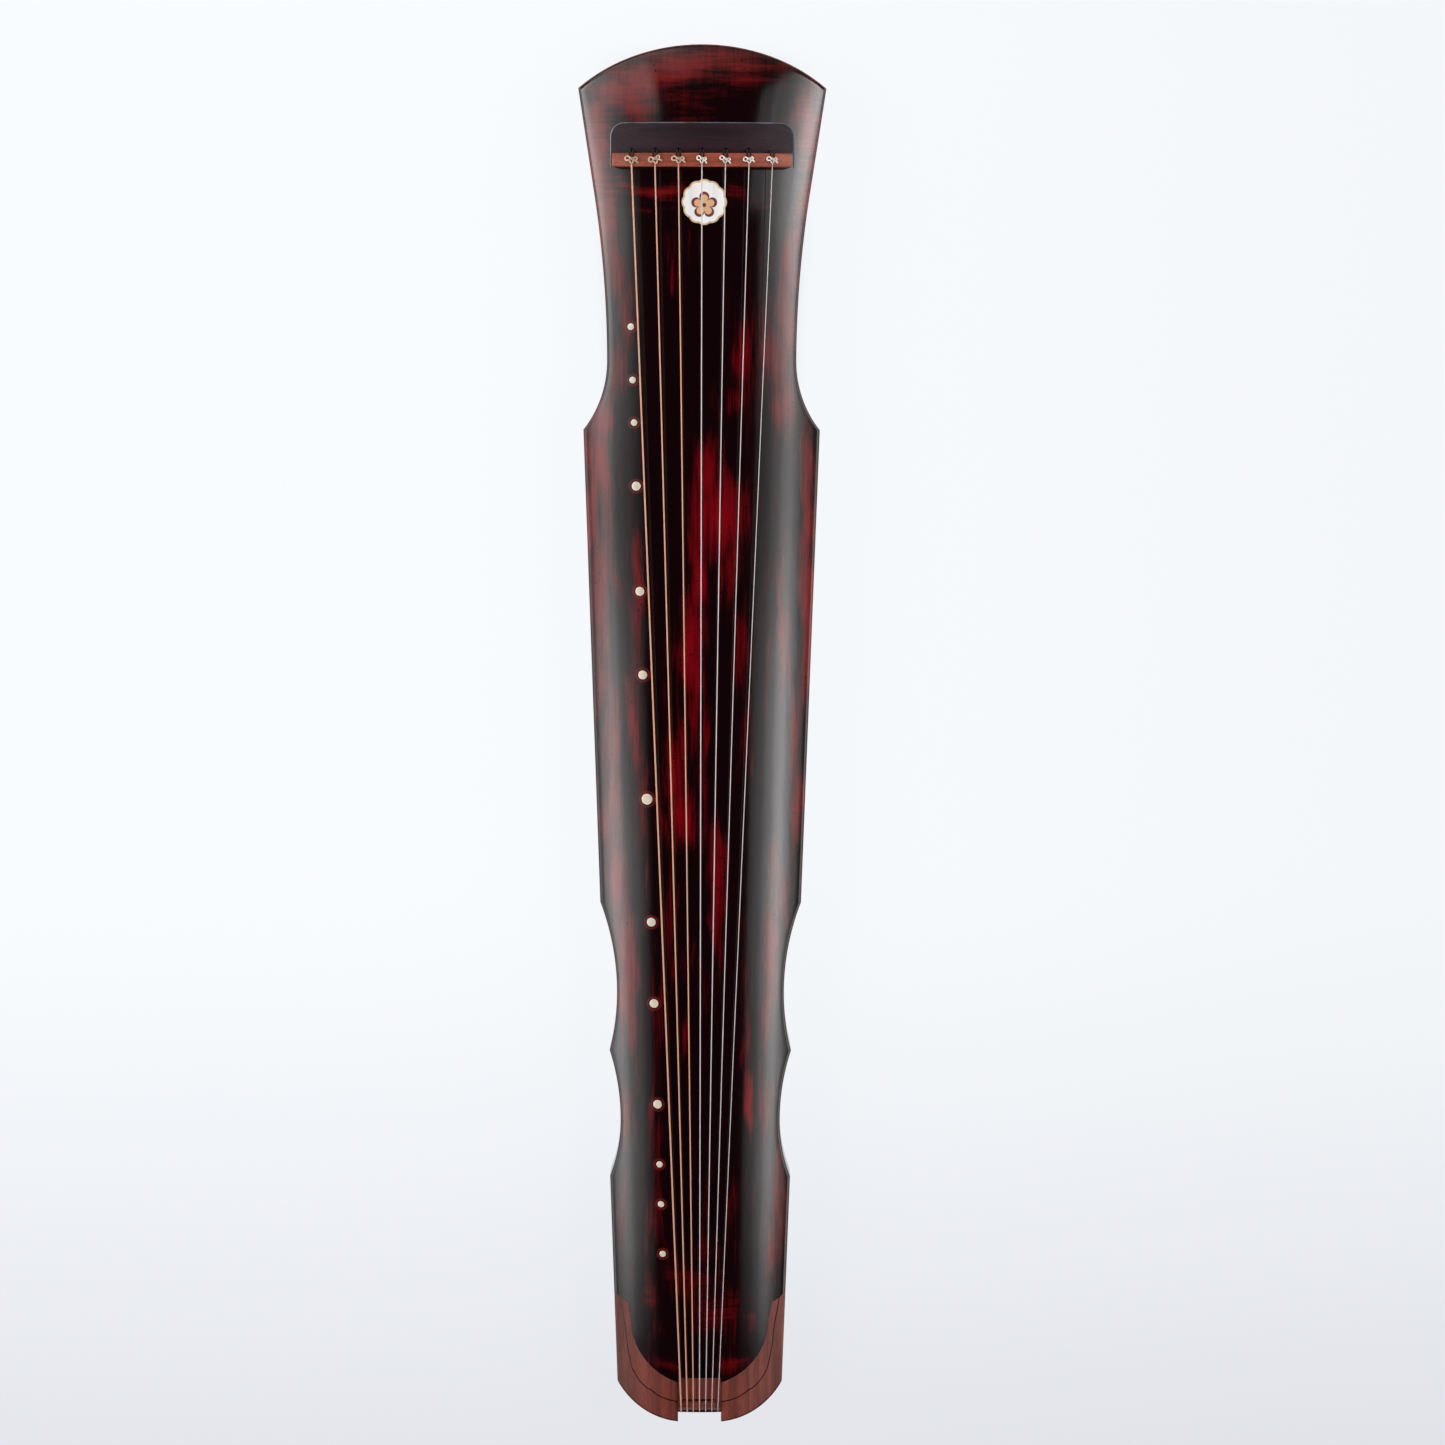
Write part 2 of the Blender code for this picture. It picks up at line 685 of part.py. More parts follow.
def make_bridge():
    bridge = slab(
        "bridge", [BRIDGE_FRONT_X, BRIDGE_BACK_X], spread(-BRIDGE_HALF, BRIDGE_HALF, 16),
        lambda x, y: (x, y),
        lambda x, y: bridge_top(y),
        lambda x, y: arch(x, y) - INLAY_DEPTH, ROSEWOOD,
    )
    bevel(bridge, BRIDGE_BEVEL, 1)


def make_hui():
    for name, x, y, radius in hui_places():
        bpy.ops.mesh.primitive_cylinder_add(vertices=20, radius=radius, depth=HUI_THICK)
        stud = bpy.context.object
        stud.name = name
        stud.matrix_world = surface_matrix(x, y, HUI_PROUD - HUI_THICK / 2)
        stud.data.materials.append(SHELL)
        for home in list(stud.users_collection):
            home.objects.unlink(stud)
        GUQIN.objects.link(stud)


def make_label():
    """A thin round label that follows the arch under the strings."""
    reach = 1.15 * LABEL_RADIUS
    label = slab(
        "round_label", spread(LABEL_X - reach, LABEL_X + reach, 2),
        spread(LABEL_Y - reach, LABEL_Y + reach, 10), lambda x, y: (x, y),
        lambda x, y: arch(x, y) + GAP + LABEL_THICK,
        lambda x, y: arch(x, y) + GAP, PAPER,
    )
    place = Matrix.Translation((LABEL_X, LABEL_Y, arch(LABEL_X, LABEL_Y)))
    boolean(label, discs("label_cutter", [(place, LABEL_RADIUS, PAST)], sides=40), "INTERSECT")


def make_peg_plate(string_holes):
    """Hardwood floor of the peg slot, which the pegs turn against."""
    loop = rounded_rectangle(
        PEG_SLOT_X, 0, PEG_SLOT_WIDTH - 2 * GAP, PEG_SLOT_LENGTH - 2 * GAP, PEG_SLOT_RADIUS - GAP
    )
    top = BACK_Z + BACK_THICK
    plate = as_mesh(flat_piece("peg_plate", [loop], top - PEG_PLATE_THICK, top, EBONY))
    boolean(plate, string_holes)


PEG_TOP_Z = BACK_Z + BACK_THICK - PEG_PLATE_THICK - GAP


def make_pegs():
    """Seven tuning pegs, each bored for its cord and turning about it."""
    outer = (
        (0.0070, 0), (0.0075, -0.0008), (0.0075, -0.0045), (0.0050, -0.0075), (0.0050, -0.0105),
        (0.0068, -0.0145), (0.0080, -PEG_LENGTH + 0.003), (0.0072, -PEG_LENGTH),
    )
    profile = [*outer, (PEG_BORE, -PEG_LENGTH), (PEG_BORE, 0)]
    first = turned("tuning_peg_1", profile, PEG_SIDES, ROSEWOOD, cyclic=True)
    for number in range(1, STRINGS + 1):
        peg = first if number == 1 else first.copy()
        if number > 1:
            GUQIN.objects.link(peg)
        peg.name = f"tuning_peg_{number}"
        peg.location = (STRING_HOLE_X, string_y(number, BRIDGE_STRING_X), PEG_TOP_Z)


def make_peg_guards():
    """Two short legs that keep the pegs off the table, each with a flat sole and upturned ends."""
    low_x, high_x = GUARD_X
    middle = (low_x + high_x) / 2
    reach = (high_x - low_x) / 2

    def sole(x, y):
        beyond = max(abs(x - middle) - GUARD_FOOT, 0) / (reach - GUARD_FOOT)
        return GUARD_HEEL * beyond**1.6

    for name, side in (("peg_guard_far", 1), ("peg_guard_near", -1)):
        guard = slab(
            name, stretches((low_x, middle - GUARD_FOOT, middle + GUARD_FOOT, high_x), 0.0048),
            [side * y for y in GUARD_Y], lambda x, y: (x, y),
            lambda x, y: BACK_Z - GAP, sole, ROSEWOOD,
        )
        bevel(guard, GUARD_BEVEL, 1)


# ---- Tail ---------------------------------------------------------------------------------------------

def make_crown_seat(side):
    """The recess in the board for one crown corner, open to the outline and to the nut."""
    inset = GAP
    start = TAIL_X - PAST
    columns = crown_columns(NOTCH_HALF - 0.001, CROWN_TIP_HALF + PAST, inset)
    return slab(
        f"crown_seat_{side}_cutter", spread(0, 1, 6), columns,
        lambda share, y: (start + share * (crown_inner_x(y, inset) - start), side * y),
        lambda x, y: EDGE_Z + PAST,
        lambda x, y: arch(x, y) - CROWN_DEPTH - GAP, None, CUTTERS,
    )


def make_crown_corners():
    """Hardwood inlays that frame the tail on both sides of the nut."""
    columns = crown_columns(NOTCH_HALF + GAP, CROWN_TIP_HALF - 0.0004)
    for name, side in (("crown_corner_far", 1), ("crown_corner_near", -1)):
        slab(
            name, spread(0, 1, 6), columns,
            lambda share, y: (
                tail_outer_x(y) + share * (crown_inner_x(y) - tail_outer_x(y)), side * y
            ),
            lambda x, y: arch(x, y) - LIP_DROP / 4 * (abs(y) > CROWN_STEP_HALF),
            lambda x, y: arch(x, y) - CROWN_DEPTH, ROSEWOOD,
        )


def nut_profile():
    """(x, z) along the nut's top: flush with the board, up to its crest, then rounded to its end."""
    crest_z = nut_crest_z()
    start = (NUT_START_X, arch(NUT_START_X, 0))
    rise = [(NUT_START_X - NUT_RISE_LENGTH, start[1] + NUT_RISE)]
    arc = [
        (NUT_STRING_X - NUT_ROUND * math.sin(angle), crest_z - NUT_ROUND * (1 - math.cos(angle)))
        for angle in spread(0, math.pi / 2, 5)
    ]
    return [start] + rise + arc


def nut_crest_z():
    return arch(NUT_STRING_X, 0) + NUT_HEIGHT


def make_nut():
    """Dragon's gums, the nut at the tail, from its side profile."""
    bottom = arch(NUT_END_X, 0) - NUT_DEPTH
    profile = nut_profile() + [(NUT_END_X, bottom), (NUT_START_X, bottom)]
    extrude_across("dragon_gums", profile, NOTCH_HALF - GAP)


def make_gum_rest():
    """The block under the tail that the strings turn round on their way to the feet."""
    top = BACK_Z + BACK_THICK
    arc = [
        (
            NUT_END_X + GUM_REST_ROUND * (1 - math.cos(angle)),
            GUM_REST_Z + GUM_REST_ROUND * (1 - math.sin(angle)),
        )
        for angle in spread(0, math.pi / 2, 4)
    ]
    back = [(GUM_REST_X - GUM_REST_ROUND, GUM_REST_Z), (GUM_REST_X, BACK_Z), (GUM_REST_X, top)]
    extrude_across("gum_rest", [(NUT_END_X, top)] + arc + back, NOTCH_HALF - GAP)


def extrude_across(name, profile, half):
    """A solid with one side profile of (x, z), from -half to half across the instrument."""
    shape = bmesh.new()
    walls = [[shape.verts.new((x, y, z)) for x, z in profile] for y in (-half, half)]
    near, far = walls
    shape.faces.new(near)
    shape.faces.new(far)
    for i in range(len(profile)):
        j = (i + 1) % len(profile)
        shape.faces.new((near[i], near[j], far[j], far[i]))
    return finish_mesh(shape, name, ROSEWOOD)


def make_tail_rests():
    columns = spread(NOTCH_HALF + GAP, TAIL_CORNER_HALF, 10)
    for name, side in (("tail_rest_far", 1), ("tail_rest_near", -1)):
        slab(
            name, [0, 1], columns,
            lambda share, y: (
                tail_outer_x(y) + share * (TAIL_REST_X - tail_outer_x(y)), side * y
            ),
            lambda x, y: BACK_Z - GAP, lambda x, y: BACK_Z - TAIL_REST_THICK, ROSEWOOD,
        )


# ---- Feet, strings and cords --------------------------------------------------------------------------

def make_feet():
    """Two goose feet on square tenons, their socket plates, and the strings' windings on their necks."""
    top = BACK_Z - SOCKET_PROUD - GAP
    profile = (
        (0, top), (0.0100, top), (0.0100, top - 0.0008), (FOOT_NECK, WINDING_TOP), (FOOT_NECK, 0.0175),
        (0.0098, 0.0140), (0.0128, 0.0070), (0.0138, 0.0025), (0.0130, 0), (0, 0),
    )
    winding = (
        (FOOT_NECK + GAP, WINDING_TOP - GAP), (WINDING_RADIUS - 0.001, WINDING_TOP - GAP),
        (WINDING_RADIUS, WINDING_TOP - 0.0015), (WINDING_RADIUS, WINDING_BOTTOM + 0.0015),
        (WINDING_RADIUS - 0.001, WINDING_BOTTOM), (FOOT_NECK + GAP, WINDING_BOTTOM),
    )
    half = FOOT_TENON / 2
    for name, side, look in (("far", 1, COPPER), ("near", -1, SILVER)):
        y = side * FOOT_Y
        foot = turned(f"goose_foot_{name}", profile, 20, ROSEWOOD)
        foot.location = (FOOT_X, y, 0)
        tenon = block(
            f"tenon_{name}", (FOOT_X - half, y - half, top - 0.001),
            (FOOT_X + half, y + half, BOARD_Z + FOOT_TENON_UP), None, CUTTERS,
        )
        boolean(foot, tenon, "UNION")
        ring = turned(f"string_winding_{name}", winding, 24, look, cyclic=True)
        ring.location = (FOOT_X, y, 0)
        outer = rounded_rectangle(FOOT_X, y, SOCKET_SIDE, SOCKET_SIDE, SOCKET_CORNER - GAP, 2)
        hole = FOOT_TENON + 2 * GAP
        inner = rounded_rectangle(FOOT_X, y, hole, hole, 0.0001, 1)
        flat_piece(f"foot_socket_{name}", [outer, inner], BACK_Z - SOCKET_PROUD, BACK_Z + BACK_THICK, EBONY)


def string_route(number):
    """Centreline of one string: knot, bridge, nut, down round the gum rest, and along to its foot."""
    radius = STRING_DIAMETERS[number - 1] / 2
    clear = radius + GAP
    bridge_y = string_y(number, BRIDGE_STRING_X)
    nut_y = string_y(number, NUT_STRING_X)
    bridge_z = bridge_top(bridge_y) + clear
    crest_z = nut_crest_z() + clear
    route = [(KNOT_X, bridge_y, bridge_z)]
    for share in spread(0, 1, 10):
        x = BRIDGE_FRONT_X + share * (NUT_STRING_X - BRIDGE_FRONT_X)
        route.append((x, bridge_y + share * (nut_y - bridge_y), bridge_z + share * (crest_z - bridge_z)))
    reach = NUT_ROUND + clear
    for angle in spread(0, math.pi / 2, 5)[1:]:
        x = NUT_STRING_X - reach * math.sin(angle)
        route.append((x, nut_y, crest_z - reach * (1 - math.cos(angle))))
    reach = GUM_REST_ROUND + clear
    for angle in spread(0, math.pi / 2, 4):
        x = NUT_END_X - clear + reach * (1 - math.cos(angle))
        route.append((x, nut_y, GUM_REST_Z - clear + reach * (1 - math.sin(angle))))
    return route + underside_run(number, route[-1], clear)


def underside_run(number, start, clear):
    """From the gum rest to where the string meets the winding on its foot, at its own level there."""
    far = number <= STRINGS_ON_FAR_FOOT
    side = 1 if far else -1
    turn = number - 1 if far else number - 1 - STRINGS_ON_FAR_FOOT
    level = WINDING_TOP - 0.0022 - 0.0019 * turn
    away = Vector((FOOT_X - start[0], side * FOOT_Y - start[1]))
    reach = WINDING_RADIUS + clear
    swing = math.atan2(away.y, away.x) - side * math.asin(reach / away.length)
    run = math.sqrt(away.length**2 - reach**2)
    end = (start[0] + run * math.cos(swing), start[1] + run * math.sin(swing), level)
    return [tuple(Vector(start).lerp(Vector(end), share)) for share in spread(0, 1, 4)[1:]]


def make_strings():
    for number, diameter in enumerate(STRING_DIAMETERS, start=1):
        look = COPPER if number <= 3 else SILVER
        route = string_route(number)
        string = as_mesh(tube(f"string_{number}", route, diameter / 2, look))
        x, y, z = route[0]
        bpy.ops.mesh.primitive_uv_sphere_add(segments=10, ring_count=6, radius=1)
        knot = bpy.context.object
        knot.name = f"knot_{number}"
        lift = KNOT_RADII[2] - diameter / 2
        knot.data.transform(Matrix.Translation((x, y, z + lift)) @ Matrix.Diagonal((*KNOT_RADII, 1)))
        for home in list(knot.users_collection):
            home.objects.unlink(knot)
        CUTTERS.objects.link(knot)
        knot.hide_render = True
        boolean(string, knot, "UNION")


def make_cords():
    """The silk loops: each runs from its knot over the bridge's back and down its hole into its peg."""
    clear = CORD_RADIUS + GAP
    start_x = KNOT_X + KNOT_RADII[0] + 2 * GAP
    bend_x = BRIDGE_BACK_X + clear
    for number in range(1, STRINGS + 1):
        y = string_y(number, BRIDGE_STRING_X)
        high = bridge_top(y) + clear
        low = arch(STRING_HOLE_X, y) + COLLECTOR_RAISE
        route = [
            (start_x, y, high), (BRIDGE_BACK_X - 0.0012, y, high),
            (BRIDGE_BACK_X + 0.0004, y, high - 0.0003),
            (bend_x - 0.0002, y, high - 0.0014), (bend_x + 0.0002, y, high - 0.0040),
            (STRING_HOLE_X - 0.0002, y, low + 0.0040), (STRING_HOLE_X, y, low + 0.0015),
            (STRING_HOLE_X, y, (low + BACK_Z) / 2), (STRING_HOLE_X, y, PEG_TOP_Z - PEG_LENGTH + 0.003),
        ]
        tube(f"tuning_cord_{number}", route, CORD_RADIUS, SILK)


def main():
    string_holes = string_hole_cutter()
    make_soundboard(string_holes)
    make_back_board()
    make_pool_rims()
    make_pillars()
    make_dew_collector(string_holes)
    make_bridge()
    make_hui()
    make_label()
    make_peg_plate(string_holes)
    make_pegs()
    make_peg_guards()
    make_crown_corners()
    make_nut()
    make_gum_rest()
    make_tail_rests()
    make_feet()
    make_strings()
    make_cords()


main()
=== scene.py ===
"""The looks of the guqin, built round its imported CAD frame.

Fine meshes stand for the CAD's plain solids, each in the place and size that the frame gives. They are the
lacquered body, the hardwood trims, the shell studs, the strings with their knots, and the fittings beneath.
Lengths are in metres. +X is the head, +Y the far side and +Z up.
"""

import math

import bmesh
import bpy
import numpy as np
from mathutils import Matrix, Vector


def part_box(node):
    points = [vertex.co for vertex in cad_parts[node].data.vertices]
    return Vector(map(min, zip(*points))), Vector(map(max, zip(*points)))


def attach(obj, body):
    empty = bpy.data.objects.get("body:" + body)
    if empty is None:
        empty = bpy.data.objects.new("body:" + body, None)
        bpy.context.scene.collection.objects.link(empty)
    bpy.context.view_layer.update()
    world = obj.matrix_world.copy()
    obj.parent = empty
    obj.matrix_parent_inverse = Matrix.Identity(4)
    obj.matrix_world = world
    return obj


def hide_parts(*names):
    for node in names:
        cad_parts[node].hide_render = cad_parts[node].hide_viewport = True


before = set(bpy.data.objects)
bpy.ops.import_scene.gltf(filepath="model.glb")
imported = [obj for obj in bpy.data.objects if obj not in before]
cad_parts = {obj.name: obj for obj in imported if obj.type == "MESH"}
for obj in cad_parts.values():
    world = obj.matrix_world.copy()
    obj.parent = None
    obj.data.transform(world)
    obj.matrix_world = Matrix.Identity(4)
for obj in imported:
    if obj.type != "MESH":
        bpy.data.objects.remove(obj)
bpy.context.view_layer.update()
BODY = "instrument"

# ---- The body's shape, as the CAD has it -----------------------------------------------------------------

HEAD_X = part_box("soundboard")[1].x
TAIL_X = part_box("soundboard")[0].x
SHOULDER_X = 0.2836
SHOULDER_HALF = 0.1039
TAPER = 0.0333
# Hollows in the sides: the middle, the half-width there, and the radius toward the tail and toward the head
NECK = (0.3445, 0.0827, 0.098, 0.941)
WAIST_UPPER = (-0.2185, 0.0749, 0.225, 0.225)
WAIST_LOWER = (-0.336, 0.0718, 0.155, 0.205)
FLARE_X = 0.49
FLARE = 0.155
OUTLINE_CORNERS = (-0.3900, -0.2732, -0.1378, SHOULDER_X)
HEAD_ARC_HALF = 0.150
HEAD_ARC_REACH = 0.122
HEAD_CORNER_HALF = 0.1077
TAIL_ARC_RADIUS = 0.068
TAIL_ARC_Y = 0.016
TAIL_CORNER_HALF = 0.0751
HEAD_FAN_X = 0.50
TAIL_FAN_X = -0.545

BACK_Z = 0.030
BACK_THICK = 0.012
BOARD_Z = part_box("soundboard")[0].z
EDGE_Z = 0.063
CROWN_RATIO = 0.193
TAIL_DROP = 0.0035
TAIL_DROP_X = 0.10
HEAD_DROP = 0.0105
HEAD_DROP_X = 0.42
HEAD_FLATTEN = 0.35
LIP_WIDTH = 0.0024
LIP_DROP = 0.0015

CAVITIES = ((-0.225, 0.455), (-0.545, -0.300))
CAVITY_MARGIN = 0.018
CEILING_THICK = 0.012
ABSORBER_THICK = 0.005
ABSORBER_HALF = 0.022
ABSORBER_REACH = 0.020

# ---- Fittings ---------------------------------------------------------------------------------------------

STRINGS = 7
STRING_LENGTH = 1.110
BRIDGE_STRING_X = 0.5125
NUT_STRING_X = BRIDGE_STRING_X - STRING_LENGTH
BRIDGE_SPACING = 0.0202
NUT_SPACING = 0.0056
STRING_DIAMETERS = (0.00150, 0.00130, 0.00115, 0.00100, 0.00090, 0.00080, 0.00072)
COPPER_STRINGS = 3
STRINGS_ON_FAR_FOOT = 4
BRIDGE_HEIGHT = 0.015
STRING_HOLE_X = 0.5256
STRING_HOLE_RADIUS = 0.0019
KNOT_X = 0.5163
COLLECTOR_CORNER = 0.011
COLLECTOR_RAISE = 0.0010
INLAY_DEPTH = 0.003
HUI_FRACTIONS = (1 / 8, 1 / 6, 1 / 5, 1 / 4, 1 / 3, 2 / 5, 1 / 2, 3 / 5, 2 / 3, 3 / 4, 4 / 5, 5 / 6, 7 / 8)
NOTCH_HALF = 0.0196
NUT_HEIGHT = 0.0035
NUT_ROUND = 0.0095
CROWN_DEPTH = 0.009
GUM_REST_ROUND = 0.006
TAIL_REST_THICK = 0.0035
PEG_BORE = 0.0016
FOOT_NECK = 0.0085
SEAT = 0.00015  # how far an inlay stands proud of the lacquer


def hollow(x, middle, narrowest, radius_tail, radius_head):
    """Half-width left by a concave arc that is narrowest at middle."""
    reach = np.abs(x - middle)
    radius = np.where(x > middle, radius_head, radius_tail)
    left = narrowest + radius - np.sqrt(np.maximum(radius**2 - reach**2, 0))
    return np.where(reach >= radius, np.inf, left)


def taper(x):
    return SHOULDER_HALF + TAPER * (x - SHOULDER_X)


def head_drop(y):
    across = np.minimum(np.abs(y), HEAD_CORNER_HALF) / HEAD_ARC_HALF
    return HEAD_ARC_REACH * (1 - np.sqrt(1 - across**2))


def tail_drop(y):
    reach = np.clip(np.abs(y), TAIL_ARC_Y, TAIL_CORNER_HALF) - TAIL_ARC_Y
    return TAIL_ARC_RADIUS - np.sqrt(TAIL_ARC_RADIUS**2 - reach**2)


HEAD_CORNER_X = HEAD_X - float(head_drop(HEAD_CORNER_HALF))
TAIL_CORNER_X = TAIL_X + float(tail_drop(TAIL_CORNER_HALF))


def half_width(x):
    x = np.clip(x, TAIL_CORNER_X, HEAD_CORNER_X)
    neck = hollow(np.minimum(x, FLARE_X), *NECK) + FLARE * np.maximum(x - FLARE_X, 0)
    return np.minimum.reduce([taper(x), hollow(x, *WAIST_UPPER), hollow(x, *WAIST_LOWER), neck])


def head_ease(x):
    return (np.maximum(x - HEAD_DROP_X, 0) / (HEAD_X - HEAD_DROP_X)) ** 2


def edge_height(x):
    tail_ease = (np.maximum(TAIL_DROP_X - x, 0) / (TAIL_DROP_X - TAIL_X)) ** 2
    return EDGE_Z - TAIL_DROP * tail_ease - HEAD_DROP * head_ease(x)


def arch(x, y):
    """Height of the arched top before its edges are rounded."""
    half = taper(x)
    crown = CROWN_RATIO * half * (1 - HEAD_FLATTEN * head_ease(x))
    return edge_height(x) + crown * (1 - (y / half) ** 2)


def rounding(inside, width):
    across = np.clip(1 - inside / width, 0, 1)
    return 1 - np.sqrt(1 - across**2)


def top_height(x, y):
    """Height of the lacquered surface, with its edges rounded."""
    side = rounding(half_width(x) - np.abs(y), LIP_WIDTH)
    head = rounding(HEAD_X - head_drop(y) - x, LIP_WIDTH)
    return arch(x, y) - LIP_DROP * np.minimum(np.cbrt(side**3 + head**3), 1)


def ceiling_height(x, y):
    """Roof of the hollows, thicker over the two sound holes."""
    absorber = 0
    for rim in ("dragon_pool_rim", "phoenix_pool_rim"):
        low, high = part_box(rim)
        beyond = np.maximum.reduce([low.x - x, x - high.x, np.abs(y) - ABSORBER_HALF, 0 * x])
        absorber = absorber + np.maximum(1 - beyond / ABSORBER_REACH, 0)
    return arch(x, y) - CEILING_THICK - ABSORBER_THICK * absorber


def bridge_top(y):
    return float(arch(BRIDGE_STRING_X, y)) + BRIDGE_HEIGHT


def nut_crest():
    return float(arch(NUT_STRING_X, 0)) + NUT_HEIGHT


def string_y(number, x):
    toward_nut = (BRIDGE_STRING_X - x) / STRING_LENGTH
    return ((STRINGS + 1) / 2 - number) * (BRIDGE_SPACING + (NUT_SPACING - BRIDGE_SPACING) * toward_nut)


def surface_matrix(x, y, lift):
    """Placement on the lacquer, +Z along its normal."""
    reach = 0.001
    along = Vector((2 * reach, 0, float(top_height(x + reach, y) - top_height(x - reach, y))))
    across = Vector((0, 2 * reach, float(top_height(x, y + reach) - top_height(x, y - reach))))
    normal = along.cross(across).normalized()
    turn = normal.to_track_quat("Z", "Y").to_matrix().to_4x4()
    return Matrix.Translation(Vector((x, y, float(top_height(x, y)))) + normal * lift) @ turn


# ---- Mesh tools -------------------------------------------------------------------------------------------

def spread(low, high, steps):
    return [low + (high - low) * i / steps for i in range(steps + 1)]


def quarter(steps):
    return spread(0, math.pi / 2, steps)


def circle(steps):
    """Cosine and sine at equal steps round a circle."""
    return [(math.cos(2 * math.pi * k / steps), math.sin(2 * math.pi * k / steps)) for k in range(steps)]


def stretches(marks, step):
    """All the marks, with points between them no further apart than step."""
    found = [marks[0]]
    for low, high in zip(marks, marks[1:]):
        found += spread(low, high, max(1, math.ceil((high - low) / step - 1e-6)))[1:]
    return found


def smooth_route(points, step):
    """Points about step apart along a Catmull-Rom curve through the given ones."""
    points = [Vector(point) for point in points]
    knots = [2 * points[0] - points[1], *points, 2 * points[-1] - points[-2]]
    route = []
    for a, b, c, d in zip(knots, knots[1:], knots[2:], knots[3:]):
        for t in spread(0, 1, max(1, round((c - b).length / step)))[:-1]:
            cubic = (-a + 3 * b - 3 * c + d) * t**3 + (2 * a - 5 * b + 4 * c - d) * t**2
            route.append((cubic + (c - a) * t) / 2 + b)
    return route + [points[-1]]


def smooth_pairs(pairs, step):
    """The same in a plane, from pairs to pairs."""
    return [(point.x, point.y) for point in smooth_route([(*pair, 0) for pair in pairs], step)]


def coil(centre, reach, top, pitch, count, steps, start=0.0):
    """count steps down a helix with its axis upright, steps to each turn."""
    route = []
    for k in range(count + 1):
        angle = 2 * math.pi * k / steps + start
        x, y = centre.x + reach * math.cos(angle), centre.y + reach * math.sin(angle)
        route.append(Vector((x, y, top - pitch * k / steps)))
    return route


def add_object(name, data):
    made = bpy.data.objects.new(name, data)
    bpy.context.scene.collection.objects.link(made)
    return made


def piece(name, mesh, look, replaces=None, slot=None, body=BODY, sharp=35, **bevel):
    """Puts a finished mesh in the scene, smooth but for its sharp edges, on a body, bevelled if asked."""
    made = add_object(name, mesh)
    mesh.materials.append(look)
    mesh.shade_smooth()
    mesh.set_sharp_from_angle(angle=math.radians(sharp))
    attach(made, body)
    if replaces:
        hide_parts(replaces)
    if bevel:
        bevelled(made, **bevel)
    return made


def bevelled(made, width, segments=3, angle=35):
    modifier = made.modifiers.new("bevel", "BEVEL")
    modifier.width = width
    modifier.segments = segments
    modifier.limit_method = "ANGLE"
    modifier.angle_limit = math.radians(angle)
    modifier.harden_normals = True


def from_bmesh(name, shape):
    bmesh.ops.recalc_face_normals(shape, faces=shape.faces)
    mesh = bpy.data.meshes.new(name)
    shape.to_mesh(mesh)
    shape.free()
    return mesh


def grid_solid(name, top, bottom, keep=None):
    """A closed mesh between two grids of points, arrays of (rows, columns, 3), less the cells not kept."""
    rows, columns, _ = top.shape
    count = rows * columns
    i, j = np.nonzero(np.ones((rows - 1, columns - 1)) if keep is None else keep)
    corner = i * columns + j
    faces = np.stack([corner, corner + columns, corner + columns + 1, corner + 1], 1).tolist()
    under = [[count + v for v in reversed(face)] for face in faces]
    edges = {(face[k], face[(k + 1) % 4]) for face in faces for k in range(4)}
    walls = [(b, a, a + count, b + count) for a, b in sorted(edges) if (b, a) not in edges]
    draft = bpy.data.meshes.new("draft")
    places = np.concatenate([top.reshape(-1, 3), bottom.reshape(-1, 3)]).tolist()
    draft.from_pydata(places, [], faces + under + walls)
    shape = bmesh.new()
    shape.from_mesh(draft)
    bpy.data.meshes.remove(draft)
    bmesh.ops.delete(shape, geom=[v for v in shape.verts if not v.link_faces], context="VERTS")
    return from_bmesh(name, shape)


def slab_mesh(name, rows, columns, plan, top, bottom):
    """grid_solid over plan(row, column) with heights from top(x, y) and bottom(x, y)."""
    spots = np.array([[plan(row, column) for column in columns] for row in rows], float)
    x, y = spots[..., 0], spots[..., 1]
    return grid_solid(name, *(np.stack([x, y, surface(x, y) + 0 * x], 2) for surface in (top, bottom)))


def framed(route):
    """(place, direction, a side that turns as little as it can, metres run) at each point of a route."""
    side, run = (route[1] - route[0]).orthogonal(), 0.0
    for before, place, after in zip(route[:1] + route, route, route[1:] + route[-1:]):
        ahead = (after - before).normalized()
        side = (side - ahead * side.dot(ahead)).normalized()
        run += (place - before).length
        yield place, ahead, side, run


TUBE_END = ((0.0, 1.0), (0.3, 0.88), (0.6, 0.55))  # a rounded end: push along and size, in radii


def tube_into(shape, route, radius, sides):
    """Adds a tube with rounded ends round a route. Its UV map holds turns round and metres along."""
    layer = shape.loops.layers.uv.verify()
    rings = []
    for i, (place, ahead, side, run) in enumerate(framed(route)):
        ends = [(-push, share) for push, share in reversed(TUBE_END)] if i == 0 else TUBE_END
        for push, share in ends if i in (0, len(route) - 1) else [(0.0, 1.0)]:
            centre = place + ahead * push * radius
            arms = [side * cosine + ahead.cross(side) * sine for cosine, sine in circle(sides)]
            ring = [shape.verts.new(centre + arm * radius * share) for arm in arms]
            rings.append((ring, run + push * radius))
    for (near, start), (far, end) in zip(rings, rings[1:]):
        for k in range(sides):
            m = (k + 1) % sides
            face = shape.faces.new((near[k], near[m], far[m], far[k]))
            for loop, turn, length in zip(face.loops, (k, k + 1, k + 1, k), (start, start, end, end)):
                loop[layer].uv = (turn / sides, length)
    shape.faces.new(rings[0][0][::-1])
    shape.faces.new(rings[-1][0])


def tube_mesh(name, route, radius, sides):
    shape = bmesh.new()
    tube_into(shape, route, radius, sides)
    return from_bmesh(name, shape)


PLY_SIZE = 0.56  # a ply's radius against the cord's
PLY_PITCH = 0.0030


